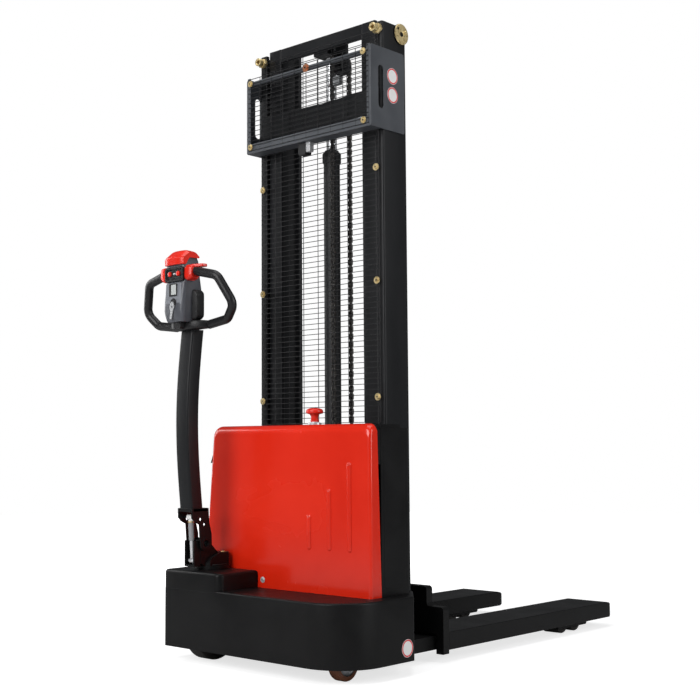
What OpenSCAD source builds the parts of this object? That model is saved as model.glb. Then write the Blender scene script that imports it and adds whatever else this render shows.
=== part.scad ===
// Pallet stacker: straddle legs under the forks, two-stage mast, tiller-steered drive wheel.
// Millimetres, +X right, +Y towards the fork tips, +Z up. Inside the modules y = 0 is the rear
// face of the fixed mast and x = 0 the centre plane; place() moves it all so that the origin is
// at the bottom centre of the whole machine.

/* [Chassis] */
// Width of the chassis skirt
chassis_w = 802; // [780:2:900]
// Length of the chassis behind the fixed mast
chassis_back = 334; // [320:1:420]
// Gap between the skirt and the floor
skirt_clear = 45; // [30:1:60]
// Height of the step that carries the hood
ledge_h = 238; // [225:1:300]
// Height of the drive block over the steered wheel
block_h = 294; // [280:1:360]
// Width of the drive block
block_w = 269; // [250:1:320]
// Sheet thickness of skirt and deck
skirt_t = 5; // [4:0.5:8]
// Radius of the big rear right corner
corner_r = 190; // [60:5:200]
// Radius of the rear left corner
left_corner_r = 12; // [10:1:60]

/* [Hood] */
// Width of the hood at its top
hood_w = 704; // [640:2:760]
// Length of the hood behind the fixed mast
hood_back = 161; // [140:1:190]
// Height of the top of the hood above the floor
hood_h = 765; // [600:5:900]
// Depth of the red part of the hood
hood_wrap = 51; // [30:1:80]
// Outward lean of the hood's left side at its foot
hood_flare = 42; // [0:1:46]
// Sheet thickness of the hood
hood_t = 3; // [2:0.5:5]
// Edge radius along the top of the red panel
hood_r = 30; // [15:1:40]
// How far the side panels reach past the mast's rear face
panel_front = 21; // [0:1:60]

/* [Mast] */
// Outside width of the fixed mast
mast_w = 564; // [520:2:640]
// Depth of the fixed mast channels
channel_d = 122; // [100:1:150]
// Height of the fixed mast above the floor
mast_h = 2080; // [1700:10:2600]
// Web thickness of the mast channels
web_t = 10; // [6:0.5:14]
// Flange thickness of the mast channels
flange_t = 14; // [10:0.5:18]
// Flange width of the fixed channels
outer_flange = 32; // [28:1:50]
// Width of the sliding mast's I-section
inner_section_w = 58; // [50:1:70]
// Gap between the fixed and the sliding channels
mast_gap = 5; // [5:0.5:10]
// How far the sliding mast stands above the fixed one
inner_over = 12; // [5:1:40]
// Travel of the sliding mast
mast_travel = 1455; // [900:5:1500]
// Outer diameter of the lift cylinder
cylinder_d = 56; // [45:1:70]
// Diameter of the lift cylinder's rod
rod_d = 36; // [25:1:45]
// Diameter of the chain sheave
sheave_d = 78; // [60:1:90]

/* [Forks] */
// Width over both forks
fork_over = 677; // [540:1:700]
// Width of one fork
fork_w = 174; // [150:1:190]
// Height of the fork's side skirts
fork_h = 58; // [50:1:70]
// Height of the lowered forks above the floor
fork_top = 96; // [85:1:110]
// Sheet thickness of the forks
fork_t = 8; // [6:0.5:10]
// Fork length from the front of the shank plate
fork_l = 1068; // [800:1:1200]
// Thickness of the shank plate
shank_t = 31; // [20:1:40]
// How far the load face stands in front of the forks' heels
heel_step = 1; // [1:0.5:4]
// Distance from the fixed mast's rear face to the shank plate
shank_y = 213; // [190:1:260]

/* [Wheels] */
// Diameter of the load wheels
load_wheel_d = 80; // [70:1:82]
// Width of the load wheels
load_wheel_w = 72; // [50:1:74]
// Distance between the two load wheels of a leg
load_pitch = 88; // [84:1:110]
// Diameter of the drive wheel
drive_d = 190; // [170:1:194]
// Width of the drive wheel
drive_w = 58; // [50:1:62]
// Diameter of the stabiliser caster wheel
caster_d = 100; // [80:1:105]
// Width of the caster wheel
caster_wheel_w = 38; // [30:1:45]
// Caster trail
caster_trail = 32; // [20:1:35]

/* [Tiller] */
// Height of the tiller's pivot
pivot_z = 381; // [370:1:400]
// Distance of the pivot behind the steering axis
pivot_back = 57; // [50:1:65]
// Height of the top of the tiller head
tiller_h = 1343; // [1150:1:1450]
// Width of the tiller arm
arm_w = 60; // [45:1:75]
// Depth of the tiller arm
arm_d = 52; // [40:1:60]
// Half width over the handle loops
handle_half = 230; // [190:1:260]
// Diameter of the handle tube
handle_d = 30; // [24:1:34]

/* [Hidden] */

clear = 5;                                         // free gap between moving pieces
fit = 1;                                           // gap of a roller in its channel
eps = 0.01;                                        // overlap of joined solids

mast_hw = mast_w / 2;
outer_x = mast_hw - outer_flange;                  // inner edge of the fixed flanges
inner_x1 = outer_x - mast_gap;                     // outer edge of the sliding section
inner_x0 = inner_x1 - inner_section_w;             // inner edge of the sliding section
inner_y0 = 8;                                      // rear face of the sliding section
inner_y1 = channel_d - inner_y0;
inner_web_x = (inner_x0 + inner_x1) / 2;
inner_h = mast_h + inner_over;
plate_t = 8;                                       // cross members of the fixed mast
stub_r = 12;                                       // roller pins
head_bar = 48;                                     // height of the sliding mast's top bar
roof_y = inner_y0 + 78;                            // front edge of its roof plate
roof_t = 10;

leg_w = 98;
leg_wall = 8;
leg_x = fork_over / 2 - fork_w / 2;                // centre of a leg and of its fork
leg_z0 = fork_top - fork_h;
leg_z1 = fork_top - fork_t - clear - 1;
leg_y0 = -80;
fork_tip = shank_y + shank_t + fork_l;
load_y1 = fork_tip - 213;                          // front load wheel
load_y0 = load_y1 - load_pitch;
leg_end = load_y1 + 63;
load_axle_r = 10;
inner_foot_z = leg_z1 + clear + 3;

steer_x = -chassis_w / 2 + 115;
steer_y = -chassis_back + 110;
pivot_y = steer_y - pivot_back;
block_right = -chassis_w / 2 + block_w;
bearing_r = 48;
flange_r = 58;                                     // turning flange on the drive block
flange_top = block_h + 12;

caster_x = chassis_w / 2 - 107;
caster_y = -chassis_back + 144;
caster_top = 128;                                  // underside of the caster's fixed plate

cylinder_x = -6;
cylinder_y = 71;
cylinder_z0 = leg_z1 + 20;
cylinder_top = cylinder_z0 + mast_travel + 150;
rod_top = inner_h - 60;
chain_x = cylinder_x + cylinder_d / 2 + 16;
chain_w = 18;
chain_t = 8;
sheave_z = inner_h - 90;
chain_rear_y = cylinder_y - sheave_d / 2 - chain_t / 2 - 1;
chain_front_y = cylinder_y + sheave_d / 2 + chain_t / 2 + 1;
chain_anchor_z = cylinder_z0 + 60;
carriage_z0 = 112;
carriage_z1 = 520;
chain_end_z = carriage_z1 - 20;
carriage_x = inner_x0 - 10;                        // outer face of the carriage side plates

arm_foot_z = pivot_z + 115;
arm_rear = pivot_y - 60;                           // rear face of the arm at its foot
head_z0 = tiller_h - 262;                          // underside of the tiller head
head_y = steer_y - 125;                            // middle of the tiller head
head_hw = 48;                                      // half width of the tiller head
pin_r = 14;                                        // hollow tiller pivot
pin_bore = 11.5;
strut_pin_r = 4;

strut_top = [pivot_y - 36, pivot_z + 86];          // y and z of the strut's upper pin
strut_foot = [pivot_y - 28, pivot_z - 56];         // y and z of the strut's lower pin
strut_lean = atan2(strut_foot[0] - strut_top[0], strut_top[1] - strut_foot[1]);

head_rear = head_y - 58;                           // rear of the key in its lock
mid_x = (steer_x - handle_half + chassis_w / 2) / 2;
mid_y = (head_rear + fork_tip) / 2;

module place() translate([-mid_x, -mid_y, 0]) children();
module both() { children(); mirror([1, 0, 0]) children(); }
module box(low, high) translate(low) cube(high - low);
module along_x(x0, x1, r) translate([x0, 0, 0]) rotate([0, 90, 0]) cylinder(h = x1 - x0, r = r, $fn = 64);
module along_y(y0, y1, r) translate([0, y0, 0]) rotate([-90, 0, 0]) cylinder(h = y1 - y0, r = r, $fn = 64);
// Extrudes a side view, drawn as y and z, from x0 to x1
module side_view(x0, x1) translate([x0, 0, 0]) rotate([90, 0, 90]) linear_extrude(x1 - x0) children();
// Extrudes a rear view, drawn as x and z, from y0 to y1
module rear_view(y0, y1) translate([0, y1, 0]) rotate([90, 0, 0]) linear_extrude(y1 - y0) children();
// What is left of a square corner outside a radius
module corner_waste(r) difference() {
    translate([-1, -1]) square([r + 1, r + 1]);
    translate([r, r]) circle(r = r, $fn = 96);
}

// ---------------------------------------------------------------- chassis

side_front = -16;                                  // front end of the straight skirt sides
nose_x = mast_hw + 24;
nose_y = channel_d - 22;

// Plan of the skirt, moved inwards by inset
module plan(inset) {
    hw = chassis_w / 2 - inset;
    back = -chassis_back + inset;
    difference() {
        polygon([[-hw, back], [hw, back], [hw, side_front - inset], [nose_x - inset, nose_y - inset],
                 [-nose_x + inset, nose_y - inset], [-hw, side_front - inset]]);
        translate([hw, back]) mirror([1, 0]) corner_waste(corner_r - inset);
        translate([-hw, back]) corner_waste(left_corner_r - inset);
    }
}
module block_plan(inset) intersection() {
    plan(inset);
    translate([-chassis_w, -chassis_back - 10])
        square([chassis_w + block_right - inset, chassis_back + 10 - hood_back - inset]);
}

module base_frame() color([0.07, 0.07, 0.08]) place() {
    mast_x = mast_hw + 8;
    mount = 50;
    beam_x = chassis_w / 2 - skirt_t + eps;
    under_deck = ledge_h - skirt_t + eps;
    difference() {
        translate([0, 0, skirt_clear]) linear_extrude(ledge_h - skirt_clear) plan(0);
        translate([0, 0, skirt_clear - 1]) linear_extrude(ledge_h - skirt_clear - skirt_t + 1) plan(skirt_t);
        translate([0, 0, ledge_h - skirt_t - 1]) linear_extrude(skirt_t + 2) block_plan(skirt_t);
        box([-mast_x, -1, skirt_clear - 1], [mast_x, channel_d, ledge_h + 1]);
        // the legs pass through the nose
        both() box([leg_x - leg_w / 2, leg_y0, skirt_clear - 1], [leg_x + leg_w / 2, channel_d, leg_z1]);
    }
    // cross beam behind the mast that the legs run into
    box([-beam_x, -70, leg_z1], [beam_x, -62, under_deck]);
    // boxed mount and fixed plate of the stabiliser caster
    box([caster_x - mount, caster_y - mount, caster_top + 22],
        [caster_x + mount, caster_y + mount, under_deck]);
    translate([caster_x, caster_y, caster_top + 14]) cylinder(h = 8 + eps, r = 52, $fn = 64);
    translate([caster_x, caster_y, caster_top]) cylinder(h = 14 + eps, r = 22, $fn = 48);
}

module drive_block() color([0.07, 0.07, 0.08]) place() difference() {
    translate([0, 0, ledge_h]) linear_extrude(block_h - ledge_h) block_plan(0);
    translate([0, 0, ledge_h - 1]) linear_extrude(block_h - ledge_h - skirt_t + 1) block_plan(skirt_t);
    translate([steer_x, steer_y, ledge_h]) cylinder(h = block_h, r = bearing_r + 1, $fn = 96);
}

module leg_end_view() {
    r = 14;
    polygon([[load_y0 - 60, leg_z1], [leg_end - r, leg_z1], [leg_end, leg_z1 - r], [leg_end, 26],
             [leg_end - 6, 20], [load_y0 - 46, 20], [load_y0 - 60, leg_z0]]);
}

// Both legs with the cross beam that the mast stands on
module straddle_legs() color([0.07, 0.07, 0.08]) place() {
    leg_x0 = leg_x - leg_w / 2;
    leg_x1 = leg_x + leg_w / 2;
    beam = 42;
    both() difference() {
        union() {
            box([leg_x0, leg_y0, leg_z0], [leg_x1, load_y0 - 50, leg_z1]);
            side_view(leg_x0, leg_x1) leg_end_view();
        }
        box([leg_x0 + leg_wall, leg_y0 - 1, leg_z0 - 1], [leg_x1 - leg_wall, load_y0 - 62, leg_z1 - leg_wall]);
        box([leg_x0 + leg_wall + 2, load_y0 - 50, -1], [leg_x1 - leg_wall - 2, leg_end + 1, leg_z1 + 1]);
    }
    both() for (y = [load_y0, load_y1])
        translate([0, y, load_wheel_d / 2]) along_x(leg_x0 + leg_wall, leg_x1 - leg_wall, load_axle_r);
    box([-leg_x0 - eps, cylinder_y - beam, leg_z0], [leg_x0 + eps, cylinder_y + beam, leg_z1]);
    box([-leg_x0 - eps, leg_y0, leg_z0], [leg_x0 + eps, cylinder_y - beam + eps, leg_z0 + 10]);
    translate([cylinder_x, cylinder_y, leg_z1 - eps])
        cylinder(h = cylinder_z0 - leg_z1 + eps, r = 40, $fn = 64);
}

// ---------------------------------------------------------------- mast

module fixed_channel() translate([0, 0, leg_z1]) linear_extrude(mast_h - leg_z1) difference() {
    translate([outer_x, 0]) square([outer_flange, channel_d]);
    translate([outer_x - 1, flange_t]) square([outer_flange - web_t + 1, channel_d - 2 * flange_t]);
}

module fixed_mast() color([0.09, 0.09, 0.1]) place() {
    bar_x = outer_x + 20;
    crank = 21;
    both() fixed_channel();
    // rear cross members; the upper one is cranked forward around the rod
    translate([0, 0, mast_h - 305]) linear_extrude(84)
        polygon([[-bar_x, -plate_t], [-inner_x0, -plate_t], [0, crank - plate_t], [inner_x0, -plate_t],
                 [bar_x, -plate_t], [bar_x, eps], [inner_x0, 0], [0, crank], [-inner_x0, 0], [-bar_x, eps]]);
    box([-bar_x, -plate_t, ledge_h + 20], [bar_x, eps, ledge_h + 90]);
}

module lift_cylinder() color([0.07, 0.07, 0.08]) place() translate([cylinder_x, cylinder_y, 0]) {
    r = cylinder_d / 2;
    difference() {
        union() {
            translate([0, 0, cylinder_z0]) cylinder(h = cylinder_top - cylinder_z0, r = r, $fn = 64);
            translate([0, 0, cylinder_top - 40]) cylinder(h = 40, r = r + 4, $fn = 64);
            // chain anchor on the barrel
            box([0, chain_rear_y - chain_t / 2 - cylinder_y, chain_anchor_z - 30],
                [r + 26, -r / 2, chain_anchor_z]);
        }
        translate([0, 0, cylinder_z0 + 25]) cylinder(h = cylinder_top, r = rod_d / 2 + 0.5, $fn = 64);
    }
}

module roller_caps() color([0.83, 0.71, 0.4]) place() both()
    translate([0, channel_d * 0.77, mast_h - 26]) {
        along_x(mast_hw, mast_hw + 7, 36);
        along_x(mast_hw + 7 - eps, mast_hw + 12, 7);
    }

// Rollers at the head of the fixed mast that run in the sliding section
module top_rollers() color([0.45, 0.45, 0.47]) place() both() translate([0, channel_d / 2, mast_h - 62]) {
    along_x(inner_web_x + web_t / 2 + 2, inner_x1 + 1, (inner_y1 - inner_y0) / 2 - flange_t - fit);
    along_x(inner_x1 + 1 - eps, mast_hw - web_t, stub_r);
}

module sliding_section() translate([0, 0, inner_foot_z]) linear_extrude(inner_h - inner_foot_z) union() {
    translate([inner_x0, inner_y0]) square([inner_section_w, flange_t]);
    translate([inner_x0, inner_y1 - flange_t]) square([inner_section_w, flange_t]);
    translate([inner_web_x - web_t / 2, inner_y0 + flange_t - eps])
        square([web_t, inner_y1 - inner_y0 - 2 * flange_t + 2 * eps]);
}

module sliding_mast() color([0.1, 0.1, 0.11]) place() {
    bar_t = 10;
    cheek = 8;
    slot_x0 = chain_x - chain_w / 2 - 4;
    slot_x1 = chain_x + chain_w / 2 + 4;
    yoke_x1 = slot_x1 + 10;
    both() sliding_section();
    box([-inner_x0 - eps, inner_y0, inner_h - head_bar], [inner_x0 + eps, inner_y0 + bar_t, inner_h]);
    box([-inner_x0 - eps, inner_y0 + bar_t - eps, inner_h - roof_t], [inner_x0 + eps, roof_y, inner_h]);
    box([-inner_x0 - eps, inner_y0, inner_foot_z + 10], [inner_x0 + eps, inner_y0 + bar_t, inner_foot_z + 110]);
    // yoke under the roof: it takes the rod's head and carries the sheave's pin
    difference() {
        box([cylinder_x - 34, inner_y0 + bar_t - eps, rod_top], [yoke_x1, roof_y, inner_h - roof_t + eps]);
        box([slot_x0, inner_y0 + bar_t, rod_top - 1], [slot_x1, roof_y + 1, inner_h - roof_t]);
    }
    for (x = [slot_x0 - cheek, slot_x1])
        box([x, cylinder_y - 15, sheave_z - 22], [x + cheek, roof_y, inner_h - roof_t + eps]);
    translate([0, cylinder_y, sheave_z]) along_x(slot_x0 - cheek, slot_x1 + cheek, 9.9);
}

module mast_rollers() color([0.45, 0.45, 0.47]) place() both()
    translate([0, channel_d / 2, inner_foot_z + 60]) {
        along_x(outer_x + 1, mast_hw - web_t - 2, channel_d / 2 - flange_t - fit);
        along_x(inner_web_x + web_t / 2, outer_x + 1 + eps, stub_r);
    }

module cylinder_rod() color([0.75, 0.76, 0.78]) place()
    translate([cylinder_x, cylinder_y, cylinder_z0 + 40])
        cylinder(h = rod_top - cylinder_z0 - 40, r = rod_d / 2, $fn = 64);

module chain_sheave() color([0.4, 0.4, 0.42]) place() translate([0, cylinder_y, sheave_z]) difference() {
    along_x(chain_x - chain_w / 2 - 2, chain_x + chain_w / 2 + 2, sheave_d / 2);
    along_x(chain_x - chain_w, chain_x + chain_w, 10);
}

module chain_run(y, z0, z1)
    box([chain_x - chain_w / 2, y - chain_t / 2, z0], [chain_x + chain_w / 2, y + chain_t / 2, z1]);
module chain_rear_run() color([0.25, 0.24, 0.23]) place() chain_run(chain_rear_y, chain_anchor_z, sheave_z);
module chain_front_run() color([0.25, 0.24, 0.23]) place() chain_run(chain_front_y, chain_end_z, sheave_z);

// ---------------------------------------------------------------- guards

frame_z0 = mast_h - 362;
frame_z1 = mast_h - 92;
frame_back = 64;
frame_t = 4;
mesh_t = 3;

module guard_frame() color([0.2, 0.2, 0.22]) place() {
    slot_z0 = frame_z0 + 80;
    slot_z1 = frame_z1 - 75;
    slot_r = 14;
    slot_y = -12;
    stile = 14;
    lip = 34;
    rail_r = 8;
    both() difference() {
        box([mast_hw, -frame_back, frame_z0], [mast_hw + frame_t, channel_d - 14, frame_z1]);
        // grip slot
        for (z = [slot_z0, slot_z1]) translate([0, slot_y, z]) along_x(mast_hw - 5, mast_hw + 10, slot_r);
        box([mast_hw - 5, slot_y - slot_r, slot_z0], [mast_hw + 10, slot_y + slot_r, slot_z1]);
    }
    // bottom tray, rear stiles and top rail
    box([-mast_hw - eps, -frame_back, frame_z0],
        [mast_hw + eps, -plate_t - mesh_t, frame_z0 + frame_t]);
    box([-mast_hw - eps, -frame_back, frame_z0 + frame_t - eps],
        [mast_hw + eps, -frame_back + frame_t, frame_z0 + lip]);
    both() box([mast_hw - stile, -frame_back, frame_z0 + lip - eps],
               [mast_hw + eps, -frame_back + frame_t, frame_z1]);
    translate([0, -frame_back + rail_r, frame_z1 - 20]) along_x(-mast_hw - eps, mast_hw + eps, rail_r);
}

// Welded mesh as a flat lattice, in coarser cells than the real wire
module lattice(x_half, z0, z1, cols, rows) {
    wire = 4;
    dx = (2 * x_half - wire) / cols;
    dz = (z1 - z0 - wire) / rows;
    difference() {
        translate([-x_half, z0]) square([2 * x_half, z1 - z0]);
        for (i = [0 : cols - 1], j = [0 : rows - 1])
            translate([-x_half + wire + i * dx, z0 + wire + j * dz]) square([dx - wire, dz - wire]);
    }
}
// The panel behind the mast and the panel in the guard frame
module guard_mesh() color([0.05, 0.05, 0.05]) place() {
    rear_view(-plate_t - mesh_t, -plate_t) lattice(mast_hw - 12, hood_h + 6, mast_h - 30, 6, 12);
    rear_view(-frame_back - mesh_t, -frame_back) lattice(mast_hw - 4, frame_z0 + 8, frame_z1 - 4, 6, 3);
}

module limit_switch() color([0.06, 0.06, 0.06]) place() {
    box([-48, -52, frame_z0 - 42], [-14, -22, frame_z0]);
    box([-14 - eps, -50, frame_z0 - 36], [4, -30, frame_z0]);
}

// ---------------------------------------------------------------- hood

hood_bevel = 12;
panel_back = -hood_back + hood_wrap + 0.5;         // rear edge of the black panels
panel_h = hood_h - hood_bevel - 1;                 // top of the side panels

// Rear view of the hood, moved inwards by inset: the left side leans out towards its foot
module hood_outline(inset) {
    hw = hood_w / 2 - inset;
    z0 = ledge_h + inset;
    z1 = hood_h - inset;
    polygon([[-hw - hood_flare, z0], [hw, z0], [hw, z1 - hood_bevel], [hw - hood_bevel, z1],
             [-hw + hood_bevel, z1], [-hw, z1 - hood_bevel]]);
}
module hood_side(inset) difference() {
    translate([-hood_back + inset, ledge_h]) square([hood_wrap - inset, hood_h - ledge_h - inset]);
    translate([-hood_back + inset, hood_h - inset]) mirror([0, 1]) corner_waste(hood_r - inset);
}
module hood_block(inset, more) intersection() {
    rear_view(-hood_back - 1, -hood_back + hood_wrap + more) hood_outline(inset);
    translate([0, more, 0]) side_view(-chassis_w, chassis_w) hood_side(inset);
}

module rear_hood() color([0.85, 0.12, 0.06]) place() {
    rib_x = [98, 184, 268];
    rib_top = [483, 565, 647];
    rib_w = 18;
    rib_t = 3;
    rib_z0 = 372;
    difference() {
        hood_block(0, 0);
        hull() {
            hood_block(hood_t, 0);
            hood_block(hood_t, hood_t + 1);
        }
        // open foot
        box([-hood_w / 2 + 8, -hood_back + hood_t, ledge_h - 1], [hood_w / 2 - 8, 0, ledge_h + 20]);
    }
    for (i = [0 : 2])
        box([rib_x[i] - rib_w / 2, -hood_back - rib_t, rib_z0],
            [rib_x[i] + rib_w / 2, -hood_back + eps, rib_top[i]]);
}

// Right, left and top panel between the red hood and the mast
module hood_panels() color([0.07, 0.07, 0.08]) place() {
    x = hood_w / 2;
    foot_x = x + hood_flare;
    front_y = -plate_t - mesh_t;
    box([x - hood_t, panel_back, ledge_h], [x, panel_front, panel_h]);
    box([mast_hw + 2, panel_front - hood_t, ledge_h], [x - hood_t + eps, panel_front, panel_h]);
    rear_view(panel_back, panel_front)
        polygon([[-foot_x, ledge_h], [-foot_x + hood_t, ledge_h], [-x + hood_t, panel_h], [-x, panel_h]]);
    rear_view(panel_front - hood_t, panel_front)
        polygon([[-foot_x + hood_t - eps, ledge_h], [-mast_hw - 2, ledge_h], [-mast_hw - 2, panel_h],
                 [-x + hood_t - eps, panel_h]]);
    // front panel behind the mast, and the top
    box([-mast_hw - 2, front_y - hood_t, ledge_h], [mast_hw + 2, front_y, panel_h]);
    box([-x + 2, panel_back, panel_h], [x - 2, front_y, hood_h - 2]);
}

// Mushroom button on its collar
module stop_button() color([0.85, 0.06, 0.06]) place() translate([64, -96, hood_h])
    rotate_extrude($fn = 64) polygon([[0, 0], [22, 0], [22, 7], [14, 7], [14, 18], [16, 32], [27, 36],
                                      [28, 46], [20, 52], [0, 55]]);

module battery_block() color([0.15, 0.15, 0.17]) place() box([-60, -148, ledge_h], [330, -20, 560]);
module pump_block() color([0.3, 0.3, 0.32]) place() box([-330, -148, ledge_h], [-80, -20, 520]);

// ---------------------------------------------------------------- carriage and forks

module carriage_frame() color([0.08, 0.08, 0.09]) place() {
    t = 14;
    bar_z0 = chain_end_z - 80;
    bar_z1 = chain_end_z - 40;
    lug = 12;
    both() side_view(carriage_x - t, carriage_x)
        polygon([[24, carriage_z0 + 20], [24, carriage_z1], [98, carriage_z1], [98, bar_z1 + 20],
                 [chain_front_y + lug, bar_z1 + 20], [chain_front_y + lug, bar_z0 - 20], [98, 300],
                 [shank_y, 232], [shank_y, carriage_z0], [60, carriage_z0]]);
    box([-carriage_x + eps, channel_d + 6, carriage_z0], [carriage_x - eps, channel_d + 20, 226]);
    // bar and lug that take the chain's end
    box([-carriage_x + t - eps, chain_front_y - 7, bar_z0], [carriage_x - t + eps, chain_front_y + 7, bar_z1]);
    box([chain_x - 16, chain_front_y - lug, bar_z1 - eps], [chain_x + 16, chain_front_y + lug, chain_end_z]);
}

module carriage_rollers() color([0.45, 0.45, 0.47]) place() both()
    for (z = [carriage_z0 + 70, carriage_z1 - 50])
    translate([0, channel_d / 2, z]) {
        along_x(inner_x0 + 2, inner_web_x - web_t / 2 - 2, (inner_y1 - inner_y0) / 2 - flange_t - fit);
        along_x(carriage_x, inner_x0 + 2 + eps, stub_r);
    }

module shank_plate() color([0.07, 0.07, 0.08]) place() {
    hw = fork_over / 2;
    upper_hw = hw - 67;
    z0 = 26;
    step_z = fork_top + 80;
    notch = leg_w / 2 + clear + 3;
    post = 12;
    difference() {
        rear_view(shank_y, shank_y + shank_t) difference() {
            union() {
                translate([-hw, z0]) square([2 * hw, step_z - z0]);
                translate([-upper_hw, step_z - 1]) square([2 * upper_hw, 64]);
            }
            for (s = [-1, 1]) translate([s * leg_x - notch, z0 - 1])
                square([2 * notch, leg_z1 + clear - z0 + 1]);
            translate([-leg_x + notch + post, z0 - 1])
                square([2 * (leg_x - notch - post), carriage_z0 - z0 + 1]);
        }
        box([-hw - 1, shank_y + shank_t - heel_step, z0 - 1], [hw + 1, shank_y + shank_t + 1, fork_top + 5]);
    }
}

module fork_plan(inset) {
    y0 = shank_y + shank_t - heel_step;
    cut = 22;
    hw = fork_w / 2 - inset;
    polygon([[-hw, y0], [hw, y0], [hw, fork_tip - cut - 20], [hw - cut, fork_tip - inset],
             [-hw + cut, fork_tip - inset], [-hw, fork_tip - cut - 20]]);
}
// What the sloping top of the tip takes away, lowered by drop
module tip_slope(drop) translate([0, 0, -drop]) side_view(-fork_w, fork_w)
    polygon([[fork_tip - 60, fork_top], [fork_tip + 1, fork_top - 12], [fork_tip + 1, fork_top + 20],
             [fork_tip - 60, fork_top + 20]]);
module fork() difference() {
    translate([0, 0, fork_top - fork_h]) linear_extrude(fork_h) fork_plan(0);
    difference() {
        translate([0, -1, fork_top - fork_h - 1]) linear_extrude(fork_h - fork_t + 1) fork_plan(fork_t);
        tip_slope(fork_t);
    }
    tip_slope(0);
}
module fork_left() color([0.07, 0.07, 0.08]) place() translate([-leg_x, 0, 0]) fork();
module fork_right() color([0.07, 0.07, 0.08]) place() translate([leg_x, 0, 0]) fork();

// ---------------------------------------------------------------- steering head

casting_hw = 25;
pocket_hw = 24;
pocket_t = 6;

// Turning flange, foot and lug of the tiller's casting, with the pocket for the strut's foot
module pivot_casting() color([0.06, 0.06, 0.07]) place() {
    nose_z = flange_top + 42;
    foot_y = strut_foot[0];
    foot_z = strut_foot[1];
    lug_r = 18;
    pocket_z = foot_z - 12;
    pocket_y = pivot_y - lug_r + 3;
    translate([steer_x, steer_y, block_h - 14]) cylinder(h = 15, r = bearing_r, $fn = 96);
    translate([steer_x, steer_y, block_h + 1 - eps])
        cylinder(h = flange_top - block_h - 1 + eps, r = flange_r, $fn = 96);
    intersection() {
        side_view(steer_x - 38, steer_x + 38)
            polygon([[steer_y + 60, flange_top - eps], [steer_y + 52, nose_z], [steer_y + 4, nose_z],
                     [steer_y - 30, nose_z - 14], [steer_y - 60, flange_top - eps]]);
        translate([steer_x, steer_y, block_h]) cylinder(h = 100, r = flange_r - 2, $fn = 96);
    }
    difference() {
        side_view(steer_x - casting_hw, steer_x + casting_hw) union() {
            translate([pivot_y, pivot_z]) circle(r = lug_r, $fn = 64);
            polygon([[pivot_y - lug_r + 2, pivot_z], [pivot_y + lug_r - 5, pivot_z + lug_r - 5],
                     [steer_y + 4, nose_z - eps], [steer_y + 10, flange_top - eps],
                     [steer_y - 57, flange_top - eps], [pivot_y - lug_r + 2, flange_top + 12]]);
        }
        translate([0, pivot_y, pivot_z]) along_x(steer_x - 60, steer_x + 60, pin_r);
    }
    for (s = [-1, 1])
        box([steer_x + s * (pocket_hw - pocket_t / 2) - pocket_t / 2, foot_y - 14, pocket_z - eps],
            [steer_x + s * (pocket_hw - pocket_t / 2) + pocket_t / 2, pocket_y, foot_z + 66]);
    box([steer_x - pocket_hw, foot_y - 14, pocket_z - pocket_t], [steer_x + pocket_hw, pocket_y, pocket_z]);
}

// Motor over the wheel and the two cheeks that carry its axle
module drive_unit() color([0.25, 0.25, 0.27]) place() {
    head_z = drive_d + clear;
    head_t = 11;
    left = drive_w / 2 + 18;
    right = drive_w / 2 + 15;
    translate([steer_x, steer_y, head_z + eps]) cylinder(h = block_h - 14 - head_z - eps, r = 46, $fn = 64);
    box([steer_x - left, steer_y - 38, drive_d / 2 - 34],
        [steer_x - drive_w / 2 - clear, steer_y + 38, head_z + eps]);
    box([steer_x + drive_w / 2 + clear, steer_y - 26, drive_d / 2 - 26],
        [steer_x + right, steer_y + 26, head_z + eps]);
    box([steer_x - left, steer_y - 38, head_z], [steer_x + right, steer_y + 38, head_z + head_t]);
    translate([0, steer_y, drive_d / 2])
        along_x(steer_x - drive_w / 2 - clear - eps, steer_x + drive_w / 2 + clear + eps, 14.95);
}
tyre_t = 22;
module drive_wheel_tyre() color([0.12, 0.1, 0.09]) place() translate([0, steer_y, drive_d / 2]) difference() {
    along_x(steer_x - drive_w / 2, steer_x + drive_w / 2, drive_d / 2);
    along_x(steer_x - drive_w, steer_x + drive_w, drive_d / 2 - tyre_t);
}
module drive_wheel_hub() color([0.5, 0.5, 0.52]) place() translate([0, steer_y, drive_d / 2]) difference() {
    along_x(steer_x - drive_w / 2 + 4, steer_x + drive_w / 2 - 4, drive_d / 2 - tyre_t);
    along_x(steer_x - drive_w, steer_x + drive_w, 15);
}

// ---------------------------------------------------------------- tiller

// The arm bows to the rear between its foot and the head
module arm_view() {
    z0 = arm_foot_z - eps;
    z1 = head_z0;
    bow = 21;
    n = 12;
    rear = [for (i = [0 : n]) [arm_rear - bow * sin(180 * i / n) + 2 * i / n, z0 + (z1 - z0) * i / n]];
    front = [for (i = [n : -1 : 0]) [rear[i][0] + arm_d, rear[i][1]]];
    polygon(concat(rear, front));
}
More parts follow.
